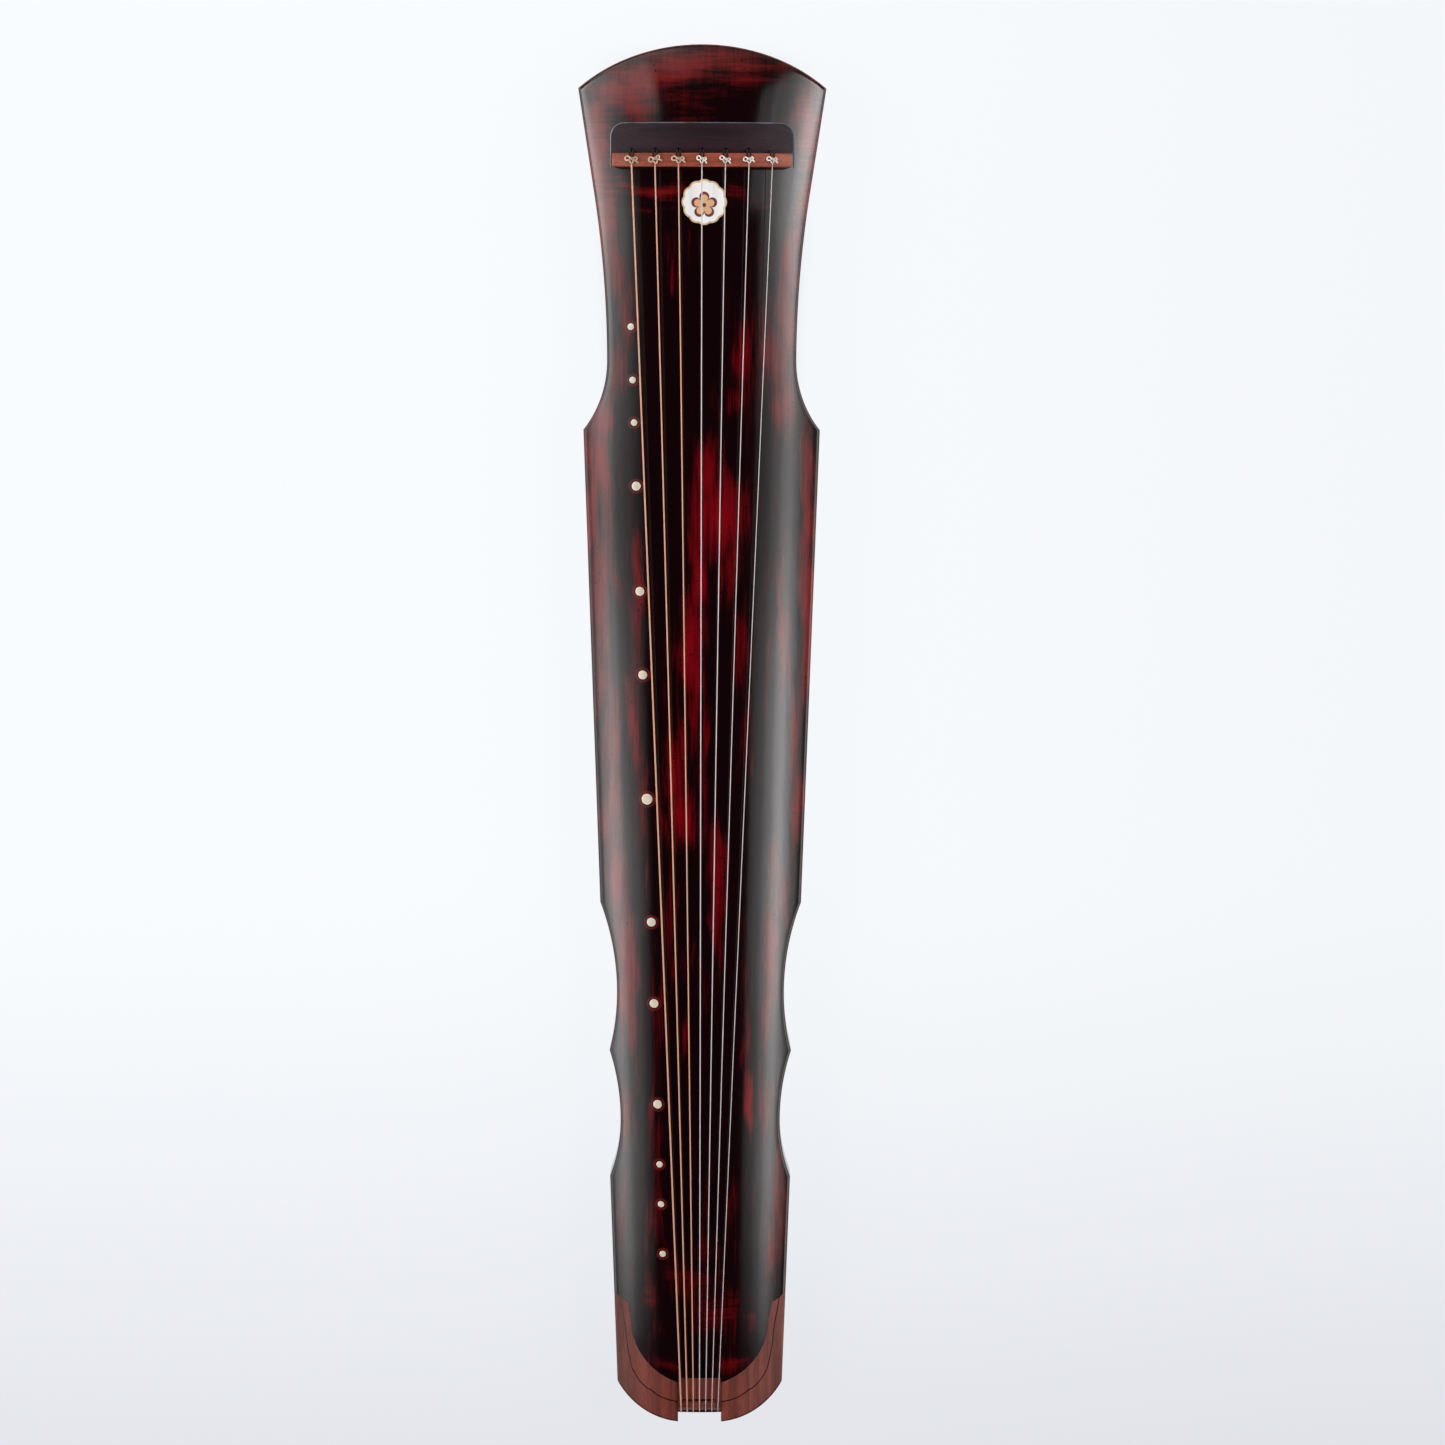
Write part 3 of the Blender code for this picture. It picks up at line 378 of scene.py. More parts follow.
def plied_mesh(name, route, radius, sides):
    """A cord of two plies twisted together."""
    shape = bmesh.new()
    for start in (0, math.pi):
        wound = []
        for place, ahead, side, run in framed(route):
            angle = 2 * math.pi * run / PLY_PITCH + start
            swing = side * math.cos(angle) + ahead.cross(side) * math.sin(angle)
            wound.append(place + swing * radius * (1 - PLY_SIZE))
        tube_into(shape, wound, radius * PLY_SIZE, sides)
    return from_bmesh(name, shape)


def turned_mesh(name, profile, steps, place, bored=False):
    """A shape turned about Z from (radius, z) pairs, top first, on the axis at both ends unless bored."""
    shape = bmesh.new()
    rings = []
    for radius, z in profile:
        arms = circle(steps) if radius else [(1, 0)]
        rings.append([shape.verts.new((radius * cosine, radius * sine, z)) for cosine, sine in arms])
    for near, far in zip(rings, rings[1:] + rings[:1] if bored else rings[1:]):
        for k in range(steps):
            m = (k + 1) % steps
            corners = [near[k % len(near)], near[m % len(near)], far[m % len(far)], far[k % len(far)]]
            shape.faces.new(list(dict.fromkeys(corners)))
    mesh = from_bmesh(name, shape)
    mesh.transform(place)
    return mesh


def flat_mesh(name, loops, low, high):
    """A plate between two heights, from closed loops of (x, y); inner loops are holes."""
    curve = bpy.data.curves.new(name, "CURVE")
    curve.dimensions = "2D"
    curve.fill_mode = "BOTH"
    curve.extrude = (high - low) / 2
    for loop in loops:
        spline = curve.splines.new("POLY")
        spline.points.add(len(loop) - 1)
        spline.use_cyclic_u = True
        for point, (x, y) in zip(spline.points, loop):
            point.co = (x, y, 0, 1)
    holder = add_object(name, curve)
    draft = evaluated_mesh(holder)
    bpy.data.objects.remove(holder)
    bpy.data.curves.remove(curve)
    shape = bmesh.new()
    shape.from_mesh(draft)
    bpy.data.meshes.remove(draft)
    bmesh.ops.remove_doubles(shape, verts=shape.verts, dist=1e-6)
    bmesh.ops.translate(shape, verts=shape.verts, vec=(0, 0, (low + high) / 2))
    bmesh.ops.dissolve_limit(shape, verts=shape.verts, edges=shape.edges, angle_limit=math.radians(0.5))
    return from_bmesh(name, shape)


def evaluated_mesh(made):
    """A new mesh of the object with its modifiers applied."""
    bpy.context.view_layer.update()
    return bpy.data.meshes.new_from_object(made.evaluated_get(bpy.context.evaluated_depsgraph_get()))


def rounded_rectangle(low, high, radius, steps=8):
    loop = []
    for turn, (x, y) in enumerate(((high.x, high.y), (low.x, high.y), (low.x, low.y), (high.x, low.y))):
        middle_x = x + (radius if x == low.x else -radius)
        middle_y = y + (radius if y == low.y else -radius)
        for angle in spread(turn * math.pi / 2, (turn + 1) * math.pi / 2, steps):
            loop.append((middle_x + radius * math.cos(angle), middle_y + radius * math.sin(angle)))
    return loop


def extruded_mesh(name, profile, half):
    """A solid with one side profile of (x, z), from -half to half across the instrument."""
    shape = bmesh.new()
    near, far = ([shape.verts.new((x, y, z)) for x, z in profile] for y in (-half, half))
    shape.faces.new(near)
    shape.faces.new(far)
    for i in range(len(profile)):
        j = (i + 1) % len(profile)
        shape.faces.new((near[i], near[j], far[j], far[i]))
    return from_bmesh(name, shape)


# ---- Materials --------------------------------------------------------------------------------------------

def add_node(tree, kind, inputs, **settings):
    """A shader node. inputs holds, for each of its sockets, another node's output or a constant."""
    made = tree.nodes.new("ShaderNode" + kind)
    for key, value in settings.items():
        setattr(made, key, value)
    for key, value in inputs.items():
        if isinstance(value, bpy.types.NodeSocket):
            tree.links.new(value, made.inputs[key])
        else:
            made.inputs[key].default_value = value
    return made


def add_ramp(tree, value, stops, interpolation="EASE"):
    """A colour ramp through (position, colour) stops."""
    made = add_node(tree, "ValToRGB", {0: value})
    made.color_ramp.interpolation = interpolation
    elements = made.color_ramp.elements
    while len(elements) < len(stops):
        elements.new(0.5)
    for element, (position, colour) in zip(elements, stops):
        element.position = position
        element.color = (*colour, 1)
    return made.outputs[0]


def rgba(colour):
    return (*colour, 1) if isinstance(colour, tuple) else colour


class Look:
    """A material under construction, with one short method for each kind of node."""

    def __init__(self, name, **constants):
        self.material = bpy.data.materials.new(name)
        self.material.use_nodes = True
        self.tree = self.material.node_tree
        self.shader = self.tree.nodes["Principled BSDF"]
        for socket, value in constants.items():
            self.shader.inputs[socket.replace("_", " ").title().replace("Ior", "IOR")].default_value = value

    def node(self, kind, inputs, **settings):
        return add_node(self.tree, kind, inputs, **settings)

    def to(self, socket, value):
        self.tree.links.new(value, self.shader.inputs[socket])

    def place(self):
        return self.node("TexCoord", {}).outputs["Object"]

    def route(self):
        return self.node("TexCoord", {}).outputs["UV"]

    def parts(self, vector):
        return self.node("SeparateXYZ", {0: vector}).outputs

    def attribute(self, name):
        return self.node("Attribute", {}, attribute_name=name).outputs["Fac"]

    def math(self, operation, a, b=0.0, c=0.0):
        return self.node("Math", {0: a, 1: b, 2: c}, operation=operation).outputs[0]

    def times(self, a, b):
        return self.math("MULTIPLY", a, b)

    def wave(self, angle, times):
        """The size of a cosine that has twice as many peaks as times."""
        return self.math("ABSOLUTE", self.math("COSINE", self.times(angle, times)))

    def vector(self, operation, a, b=(0, 0, 0), output=0):
        return self.node("VectorMath", {0: a, 1: b}, operation=operation).outputs[output]

    def scaled(self, vector, scale):
        return self.vector("MULTIPLY", vector, scale)

    def noise(self, vector, scale, detail=4.0, roughness=0.55, distortion=0.0):
        inputs = {"Vector": self.scaled(vector, scale), "Scale": 1.0, "Detail": detail}
        inputs |= {"Roughness": roughness, "Distortion": distortion}
        return self.node("TexNoise", inputs).outputs["Fac"]

    def fit(self, value, low, high, to_low=0.0, to_high=1.0):
        """value from low..high to to_low..to_high, eased at both ends."""
        inputs = {"Value": value, 1: low, 2: high, 3: to_low, 4: to_high}
        return self.node("MapRange", inputs, interpolation_type="SMOOTHSTEP").outputs[0]

    def below(self, value, low, high):
        """One up to low, easing to zero at high."""
        return self.fit(value, low, high, 1.0, 0.0)

    def blend(self, factor, a, b):
        return self.node("Mix", {0: factor, 6: rgba(a), 7: rgba(b)}, data_type="RGBA").outputs[2]

    def mix(self, factor, a, b):
        return self.node("Mix", {0: factor, 2: a, 3: b}, data_type="FLOAT").outputs[0]

    def bump(self, height, distance, strength=1.0, over=None):
        inputs = {"Height": height, "Distance": distance, "Strength": strength}
        return self.node("Bump", inputs | ({"Normal": over} if over else {})).outputs[0]


BLACK = (0.0060, 0.0011, 0.0018)
CINNABAR = (0.200, 0.0020, 0.0056)
RED_BROWN = (0.170, 0.014, 0.011)
# Brighter red-brown for the rounded rim: worn lacquer, and also a painted rim highlight.
WORN_EDGE_AND_RIM_HIGHLIGHT = (0.300, 0.085, 0.045)


def hui_spots():
    """(name, middle, radius) of each stud, from the frame."""
    for number in range(1, len(HUI_FRACTIONS) + 1):
        name = f"hui_{number:02d}"
        low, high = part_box(name)
        yield name, (low + high) / 2, (high.x - low.x) / 2


def make_lacquer(name, studs):
    """Near-black lacquer with cinnabar showing through in drawn-out clouds, under a clear polished coat."""
    look = Look(name, specular_ior_level=0.0, coat_weight=1.0, coat_roughness=0.085, coat_ior=1.5)
    place = look.place()
    across = look.attribute("strokes_across")
    cloud_along = look.noise(place, (8, 75, 30), 5.0, 0.62, 0.5)
    cloud_across = look.noise(place, (95, 13, 30), 5.0, 0.62, 0.5)
    cloud = look.mix(across, cloud_along, cloud_across)
    streak_along = look.noise(place, (24, 420, 90), 4.0, 0.62)
    streak_across = look.noise(place, (460, 30, 90), 4.0, 0.62)
    streak = look.mix(across, streak_along, look.mix(0.45, streak_across, streak_along))
    drift = look.noise(place, (4, 20, 8), 3.0, 0.5)
    amount = look.attribute("cinnabar")
    for share, pattern in ((1.5, cloud), (1.25, streak), (0.9, drift)):
        amount = look.math("MULTIPLY_ADD", look.math("SUBTRACT", pattern, 0.5), share, amount)
    cells = look.node("TexVoronoi", {"Vector": look.scaled(place, (150, 210, 150)), "Scale": 1.0})
    speck = look.fit(cells.outputs["Distance"], 0.10, 0.26)
    fleck = look.below(look.noise(place, (42, 42, 42), 2.0), 0.56, 0.66)
    red = look.times(look.fit(amount, 0.20, 1.25), look.math("MAXIMUM", speck, fleck))
    colour = look.blend(red, BLACK, look.blend(look.attribute("brownness"), CINNABAR, RED_BROWN))
    if studs:
        flat = look.scaled(place, (1, 1, 0))
        nearest = 1.0
        for _, middle, radius in hui_spots():
            away = look.vector("DISTANCE", flat, (middle.x, middle.y, 0), "Value")
            nearest = look.math("MINIMUM", look.math("SUBTRACT", away, radius), nearest)
        halo = look.times(look.fit(nearest, 0.0006, 0.0012), look.below(nearest, 0.0016, 0.0034))
        colour = look.blend(look.times(halo, 0.55), colour, RED_BROWN)
        colour = look.blend(look.below(nearest, 0.0004, 0.0010), colour, BLACK)
    edge = look.attribute("edge")
    # Along the rounded rim, mostly round the head, a brighter red-brown paints worn lacquer and also the rim
    # highlight of the lights.
    wear_and_rim_highlight = look.times(edge, look.fit(streak, 0.36, 0.60, 0.45, 1.0))
    look.to("Base Color", look.blend(wear_and_rim_highlight, colour, WORN_EDGE_AND_RIM_HIGHLIGHT))
    look.to("Coat Weight", look.fit(edge, 0.0, 1.0, 1.0, 0.25))
    look.to("Roughness", look.fit(streak, 0.35, 0.65, 0.28, 0.42))
    rolling = look.noise(place, (16, 22, 16), 2.0, 0.4)
    brushed = look.noise(place, (70, 260, 90), 2.0, 0.5)
    bumped = look.bump(brushed, 0.000012, over=look.bump(rolling, 0.00016))
    look.to("Normal", bumped)
    look.to("Coat Normal", bumped)
    return look.material


def make_bead():
    """The thin bead of lacquer round the plate behind the bridge, given a bluish slate grey in place of black
    as a painted reflection of the lights.
    """
    look = Look("lacquer_bead", specular_ior_level=0.3, coat_weight=1.0, coat_roughness=0.1)
    drift = look.noise(look.place(), (60, 60, 60), 3.0)
    # Painted reflection: the grey-blue colour stands for the light that the bead's rounded top reflects.
    painted_reflection_grey = look.blend(look.fit(drift, 0.35, 0.65), (0.045, 0.050, 0.060), (0.110, 0.120, 0.140))
    look.to("Base Color", painted_reflection_grey)
    look.to("Roughness", look.fit(drift, 0.3, 0.7, 0.3, 0.4))
    return look.material


def make_wood(name, dark, light, grain, roughness=0.36, coat=0.0, pores=1.0, figure=0.6, shine=0.35):
    """Hardwood. grain is the axis that its fibres follow, 0 for X, 1 for Y and 2 for Z."""
    look = Look(name, specular_ior_level=shine, coat_weight=coat, coat_roughness=0.18)
    place = look.place()

    def drawn_out(fine, long, *more):
        scale = tuple(long if axis == grain else fine for axis in range(3))
        return look.noise(place, scale, *more)

    bands = drawn_out(110, 5, 3.0, 0.5, 0.6)
    fibres = drawn_out(900, 26, 5.0, 0.65)
    pits = drawn_out(1500, 130, 2.0, 0.5)
    tone = look.math("ADD", look.times(bands, figure), look.times(fibres, 1.0 - figure))
    colour = look.blend(look.fit(tone, 0.36, 0.66), dark, light)
    pore = look.times(look.fit(pits, 0.60, 0.70), pores)
    look.to("Base Color", look.blend(look.times(pore, 0.7), colour, tuple(part * 0.25 for part in dark)))
    look.to("Roughness", look.fit(fibres, 0.3, 0.7, roughness + 0.08, roughness - 0.04))
    look.to("Normal", look.bump(look.math("SUBTRACT", look.times(fibres, 0.5), pore), 0.00006, 0.5))
    return look.material


def make_shell():
    """Mother-of-pearl: milky, with faint green and pink drifts and growth lines."""
    look = Look("mother_of_pearl", specular_ior_level=0.6, coat_weight=0.8, coat_roughness=0.05)
    place = look.place()
    drift = look.noise(place, (420, 420, 420), 3.0, 0.5, 1.2)
    lines = look.noise(place, (300, 2600, 300), 4.0, 0.6, 0.8)
    colour = look.blend(look.fit(drift, 0.38, 0.62), (0.74, 0.60, 0.42), (0.67, 0.66, 0.54))
    colour = look.blend(look.fit(drift, 0.56, 0.72, 0.0, 0.7), colour, (0.80, 0.58, 0.48))
    look.to("Base Color", look.blend(look.fit(lines, 0.52, 0.70, 0.0, 0.45), colour, (0.40, 0.38, 0.30)))
    look.to("Roughness", look.fit(lines, 0.3, 0.7, 0.18, 0.32))
    look.to("Normal", look.bump(lines, 0.00004, 0.6))
    return look.material


def make_winding(name, colour, shade):
    """A string's flat winding: fine rings along its length."""
    look = Look(name, metallic=0.55, specular_ior_level=0.6)
    inputs = {"Vector": look.scaled(look.route(), (0.0, 1.0, 0.0)), "Scale": 330.0, "Distortion": 0.0}
    rings = look.node("TexWave", inputs, bands_direction="Y").outputs["Fac"]
    drift = look.noise(look.place(), (40, 400, 400), 3.0)
    look.to("Base Color", look.blend(look.times(look.below(rings, 0.0, 0.5), 0.5), colour, shade))
    look.to("Roughness", look.fit(drift, 0.3, 0.7, 0.30, 0.42))
    look.to("Normal", look.bump(rings, 0.00005, 0.5))
    return look.material


def make_silk(name, dark, light):
    """Twisted silk: fine filaments that slant round each ply."""
    look = Look(name, sheen_weight=0.08, sheen_roughness=0.5, specular_ior_level=0.15, roughness=0.75)
    turns, length, _ = look.parts(look.route())
    slant = look.math("ADD", look.times(length, 900.0), turns)
    filaments = look.math("PINGPONG", look.times(slant, 3.0), 1.0)
    fuzz = look.noise(look.place(), (2600, 2600, 2600), 3.0)
    tone = look.math("ADD", look.times(filaments, 0.5), look.times(fuzz, 0.5))
    look.to("Base Color", look.blend(look.fit(tone, 0.25, 0.75), dark, light))
    look.to("Normal", look.bump(tone, 0.00012, 0.7))
    return look.material


def make_printed_paper(middle, radius):
    """A round paper label with a tan rim and a plain five-petalled blossom in the middle."""
    look = Look("printed_label", specular_ior_level=0.35, coat_weight=0.25, coat_roughness=0.3)

    def polar(centre_x):
        """Distance and direction from a point on the label's middle line."""
        from_centre = look.vector("SUBTRACT", look.place(), (centre_x, middle.y, 0))
        flat = look.scaled(from_centre, (1, 1, 0))
        x, y, _ = look.parts(flat)
        return look.vector("LENGTH", flat, output="Value"), look.math("ARCTAN2", y, x)

    away, angle = polar(middle.x)
    scallop = look.wave(angle, LABEL_LOBES / 2)
    rim = look.math("SUBTRACT", look.math("MULTIPLY_ADD", scallop, radius * 0.07, radius * 0.86), away)
    from_blossom, angle = polar(middle.x - radius * 0.13)
    petal = look.math("SQRT", look.wave(angle, 2.5))
    reach = look.math("MULTIPLY_ADD", petal, radius * 0.30, radius * 0.29)
    inside = look.math("SUBTRACT", reach, from_blossom)
    fibre = look.noise(look.place(), (900, 900, 900), 4.0)
    dark = (0.16, 0.020, 0.014)
    colour = look.blend(fibre, (0.86, 0.85, 0.84), (0.94, 0.93, 0.93))
    colour = look.blend(look.below(rim, -0.0002, 0.0002), colour, (0.66, 0.46, 0.24))
    colour = look.blend(look.fit(inside, 0.0, 0.0002), colour, dark)
    colour = look.blend(look.fit(inside, 0.0024, 0.0027), colour, (0.72, 0.42, 0.22))
    look.to("Base Color", look.blend(look.below(from_blossom, 0.0016, 0.0019), colour, dark))
    look.to("Roughness", look.fit(fibre, 0.3, 0.7, 0.45, 0.6))
    look.to("Normal", look.bump(fibre, 0.00002, 0.4))
    return look.material


LACQUER = make_lacquer("cloud_lacquer", studs=True)
BACK_LACQUER = make_lacquer("back_lacquer", studs=False)
ROSEWOOD = make_wood("rosewood", (0.085, 0.016, 0.010), (0.215, 0.044, 0.029), grain=0, coat=0.10)
BRIDGE_WOOD = make_wood("bridge_rosewood", (0.235, 0.046, 0.022), (0.430, 0.106, 0.055), 1, figure=0.45)
TURNED_WOOD = make_wood("turned_rosewood", (0.075, 0.016, 0.011), (0.190, 0.046, 0.028), 2, coat=0.3)
EBONY = make_wood("plate_wood", (0.014, 0.0058, 0.0092), (0.032, 0.0125, 0.019), 1, pores=0.5, shine=0.22)
BARE_WOOD = make_wood("bare_wood", (0.33, 0.20, 0.10), (0.55, 0.38, 0.22), 0, roughness=0.62, pores=0.3)
BEAD = make_bead()
SHELL = make_shell()
COPPER = make_winding("copper_winding", (0.65, 0.345, 0.23), (0.30, 0.13, 0.08))
SILVER = make_winding("silver_winding", (0.60, 0.55, 0.54), (0.24, 0.215, 0.21))
COPPER_KNOT_LOOK = make_winding("copper_knot", (0.70, 0.48, 0.36), (0.36, 0.22, 0.15))
SILVER_KNOT_LOOK = make_winding("silver_knot", (0.86, 0.80, 0.72), (0.50, 0.46, 0.41))
SILK = make_silk("silk_loop", (0.010, 0.004, 0.004), (0.040, 0.016, 0.014))


# ---- The lacquered body -----------------------------------------------------------------------------------

# Where cinnabar shows through the lacquer: the middle's x and y, half the length along X and half the width,
# all in millimetres, then the strength in percent
CLOUDS = (
    # over the middle of the board, head end first
    (405, 30, 20, 4, 30), (352, -34, 28, 13, 58), (318, -28, 20, 18, 42), (310, -9, 24, 10, 50),
    (258, -6, 32, 13, 100), (214, -16, 40, 20, 105), (205, 4, 50, 8, 90), (160, 6, 60, 9, 110),
    (100, 8, 60, 11, 115), (161, -24, 30, 12, 62), (86, -36, 40, 9, 62), (37, 8, 50, 8, 80),
    (-9, 21, 58, 12, 90), (-8, -3, 50, 6, 75), (0, -39, 55, 8, 55), (-55, 14, 34, 18, 95),
    (-128, -16, 55, 8, 105), (-90, -12, 30, 9, 85), (-144, 24, 55, 13, 50), (-200, 10, 50, 16, 45),
    (-261, 14, 26, 5, 75), (-263, -41, 36, 6, 60), (-310, -43, 32, 4.5, 110), (-205, -36, 50, 6, 45),
    (-360, 10, 50, 6, 30), (-376, -8, 50, 5, 35), (-400, -34, 40, 10, 40),
    # down the far side
    (520, 93, 50, 13, 100), (470, 84, 45, 13, 95), (430, 73, 35, 9, 80), (390, 69, 45, 9, 75),
    (345, 71, 40, 10, 80), (300, 86, 24, 12, 85), (262, 90, 34, 10, 90), (228, 98, 65, 6, 95),
    (190, 82, 60, 6, 75), (157, 77, 34, 6, 75), (120, 92, 60, 9, 85), (60, 88, 60, 8, 80),
    (0, 82, 60, 9, 75), (-60, 80, 60, 9, 75), (-120, 76, 40, 10, 80), (-165, 68, 36, 9, 100),
    (-200, 63, 60, 10, 95), (-250, 66, 40, 7, 70), (-325, 63, 40, 9, 70), (-420, 72, 50, 8, 52),
    (-470, 66, 34, 10, 45), (135, 57, 60, 5, 60), (20, 62, 60, 6, 50), (-60, 52, 60, 6, 55),
    (-240, 38, 50, 9, 50), (-330, 40, 60, 8, 45), (-430, 40, 40, 8, 45),
    # down the near side
    (535, -94, 40, 12, 85), (480, -89, 40, 8, 70), (425, -78, 40, 8, 80), (385, -72, 45, 8, 85),
    (345, -64, 36, 12, 72), (300, -74, 30, 12, 70), (258, -92, 40, 8, 75), (217, -91, 70, 6, 85),
    (150, -94, 60, 8, 90), (95, -72, 55, 7, 70), (80, -92, 50, 6, 70), (20, -84, 60, 7, 75),
    (-45, -83, 55, 7, 85), (-95, -66, 50, 8, 65), (-130, -74, 50, 9, 80), (-180, -64, 60, 8, 80),
    (-235, -60, 40, 7, 70), (-325, -58, 40, 8, 70), (-420, -71, 50, 8, 66), (-460, -62, 34, 12, 60),
    (80, -58, 70, 5, 45),
)
# The same where the strokes run across the body, on the head and at the tail
STROKES = (
    (600, 6, 13, 70, 85), (586, 50, 13, 36, 95), (575, 72, 14, 26, 100), (561, 56, 10, 18, 95),
    (548, 92, 28, 12, 95), (560, -90, 20, 14, 75), (588, -40, 9, 44, 50), (571, -10, 5, 50, 26),
    (554, 0, 4, 56, 26), (543, -36, 5, 36, 42), (546, 30, 5, 26, 32), (536, 92, 14, 12, 80),
    (490, 38, 6, 24, 90), (490, -29, 7, 14, 60), (498, 69, 9, 10, 55), (474, 50, 5, 22, 48),
    (480, -55, 6, 12, 35), (-563, 30, 6, 14, 65), (-563, -32, 6, 16, 70), (-524, -46, 14, 10, 45),
    (-508, -26, 24, 18, 55), (-512, -8, 26, 16, 62), (-485, 4, 20, 34, 48), (-478, 28, 26, 7, 50),
    (-500, 45, 18, 10, 55), (-452, -10, 22, 28, 30), (-530, 35, 12, 9, 40),
)
HEAD_STROKES_X = 0.455  # the strokes run across the body from here to the head


def cloud_amount(x, y, clouds, wander):
    """How strongly a list of clouds shows at each point, the strongest winning. Their outlines wander."""
    x = x + wander * (0.006 * np.sin(61 * y + 9 * x) + 0.004 * np.sin(143 * y - 21 * x))
    y = y + wander * (0.0022 * np.sin(47 * x + 30 * y) + 0.0012 * np.sin(131 * x - 60 * y))
    amount = np.zeros_like(x)
    for cloud in clouds:
        middle_x, middle_y, long, wide = (part / 1000 for part in cloud[:4])
        away = ((x - middle_x) / long) ** 2 + ((y - middle_y) / wide) ** 2
        amount = np.maximum(amount, cloud[4] / 100 * np.exp(-away))
    return amount


def paint_lacquer(mesh):
    """Gives the mesh the attributes that the lacquer reads."""
    places = np.zeros(len(mesh.vertices) * 3, np.float32)
    mesh.vertices.foreach_get("co", places)
    x, y, z = places.reshape(-1, 3).T.astype(float)
    strokes = cloud_amount(x, y, STROKES, 0.3)
    head = np.clip((x - HEAD_STROKES_X) / 0.02, 0, 1)
    to_head = HEAD_X - head_drop(y) - x
    inside = np.minimum(half_width(x) - np.abs(y), to_head)
    margin = np.exp(-((np.maximum(inside, 0) / 0.022) ** 2))
    edge = np.clip(1 - inside / 0.0016, 0, 1) * (z > BOARD_Z + 0.001)
    values = {
        "cinnabar": np.maximum(cloud_amount(x, y, CLOUDS, 1.0), strokes) + 0.10 * margin + 0.02 * head,
        "strokes_across": np.maximum(head, np.clip(strokes * 2 - 0.4, 0, 1)),
        "brownness": np.clip(0.75 * margin + 0.35 * head, 0, 0.9),
        # The rounded rim, strongest round the head: worn lacquer and a painted rim highlight go there, and
        # the clear coat thins.
        "edge": edge * np.where(to_head < 0.002, 0.8, 0.15),
    }
    for name, value in values.items():
        attribute = mesh.attributes.new(name, "FLOAT", "POINT")
        attribute.data.foreach_set("value", value.astype(np.float32))


BODY_STEP = 0.003
LIP_STEPS = 9
HALF_COLUMNS = 22
NOTCH_COLUMN = NOTCH_HALF / (TAIL_CORNER_HALF - LIP_WIDTH)
CAVITY_EASE = 0.0005  # the hollows' walls lean by this much
NUT_END_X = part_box("dragon_gums")[0].x


def body_stations():
    marks = {TAIL_X, TAIL_FAN_X, *OUTLINE_CORNERS, HEAD_FAN_X, HEAD_X - LIP_WIDTH, NUT_END_X}
    for low, high in CAVITIES:
        marks |= {low - CAVITY_EASE, low, high, high + CAVITY_EASE}
    head = [HEAD_X - LIP_WIDTH * (1 - math.sin(angle)) for angle in quarter(LIP_STEPS)]
    return np.array(stretches(sorted(marks), BODY_STEP) + head[1:])


def body_columns():
    """(side, share of the middle part, angle over the rounded lip) of each line along the body."""
    shares = sorted({*spread(0, 1, HALF_COLUMNS), NOTCH_COLUMN})
    positive = [(share, 0.0) for share in shares] + [(1.0, angle) for angle in quarter(LIP_STEPS)[1:]]
    return [(-1, *c) for c in reversed(positive[1:])] + [(1, *c) for c in positive]


def soundboard_mesh():
    """The top board: its lacquered arch and sides, and its hollowed underside."""
    station = body_stations()[:, None]
    side, share, angle = (np.array(part)[None, :] for part in zip(*body_columns()))

    def reach(x):
        return share * (half_width(x) - LIP_WIDTH) + LIP_WIDTH * np.sin(angle)

    across = reach(station) / half_width(station)
    toward_head = np.clip((station - HEAD_FAN_X) / (HEAD_X - HEAD_FAN_X), 0, 1)
    toward_tail = np.clip((TAIL_FAN_X - station) / (TAIL_FAN_X - TAIL_X), 0, 1)
    x = station - toward_head * head_drop(across * HEAD_CORNER_HALF)
    x = x + toward_tail * tail_drop(across * TAIL_CORNER_HALF)
    y = side * reach(x)
    top = np.stack([x, y, top_height(x, y)], 2)

    lip = angle / (math.pi / 2) * LIP_STEPS
    wall = half_width(x) - CAVITY_MARGIN
    beyond_wall = CAVITY_EASE + (CAVITY_MARGIN - CAVITY_EASE) * (lip - 1) / (LIP_STEPS - 1)
    under_y = np.where(lip < 0.5, share * wall, wall + beyond_wall)
    over = [(x > low - 0.0001) & (x < high + 0.0001) & (lip < 0.5) for low, high in CAVITIES]
    in_hollow = (x > TAIL_FAN_X - 0.01) & (x < HEAD_FAN_X)
    under_y = side * np.where(in_hollow, under_y, np.abs(y))
    under_z = np.where(over[0] | over[1], ceiling_height(x, under_y), BOARD_Z)

    in_notch = share[0] < NOTCH_COLUMN + 0.001
    beyond_nut = station[1:] < NUT_END_X + 0.0001
    keep = ~(beyond_nut & (in_notch[:-1] & in_notch[1:])[None, :])
    mesh = grid_solid("soundboard_fine", top, np.stack([x, under_y, under_z], 2), keep)
    paint_lacquer(mesh)
    return mesh


def make_soundboard():
    mesh = soundboard_mesh()
    piece("soundboard_lacquered", mesh, LACQUER, "soundboard", "lacquer", sharp=28)
    mesh.materials.append(BARE_WOOD)
    for face in mesh.polygons:
        x, y, z = face.center
        inside = abs(y) < float(half_width(x)) - CAVITY_MARGIN + 0.001
        ceiling = inside and z < float(top_height(x, y)) - 0.006
        face.material_index = int(face.normal.z < (-0.3 if ceiling else -0.5))


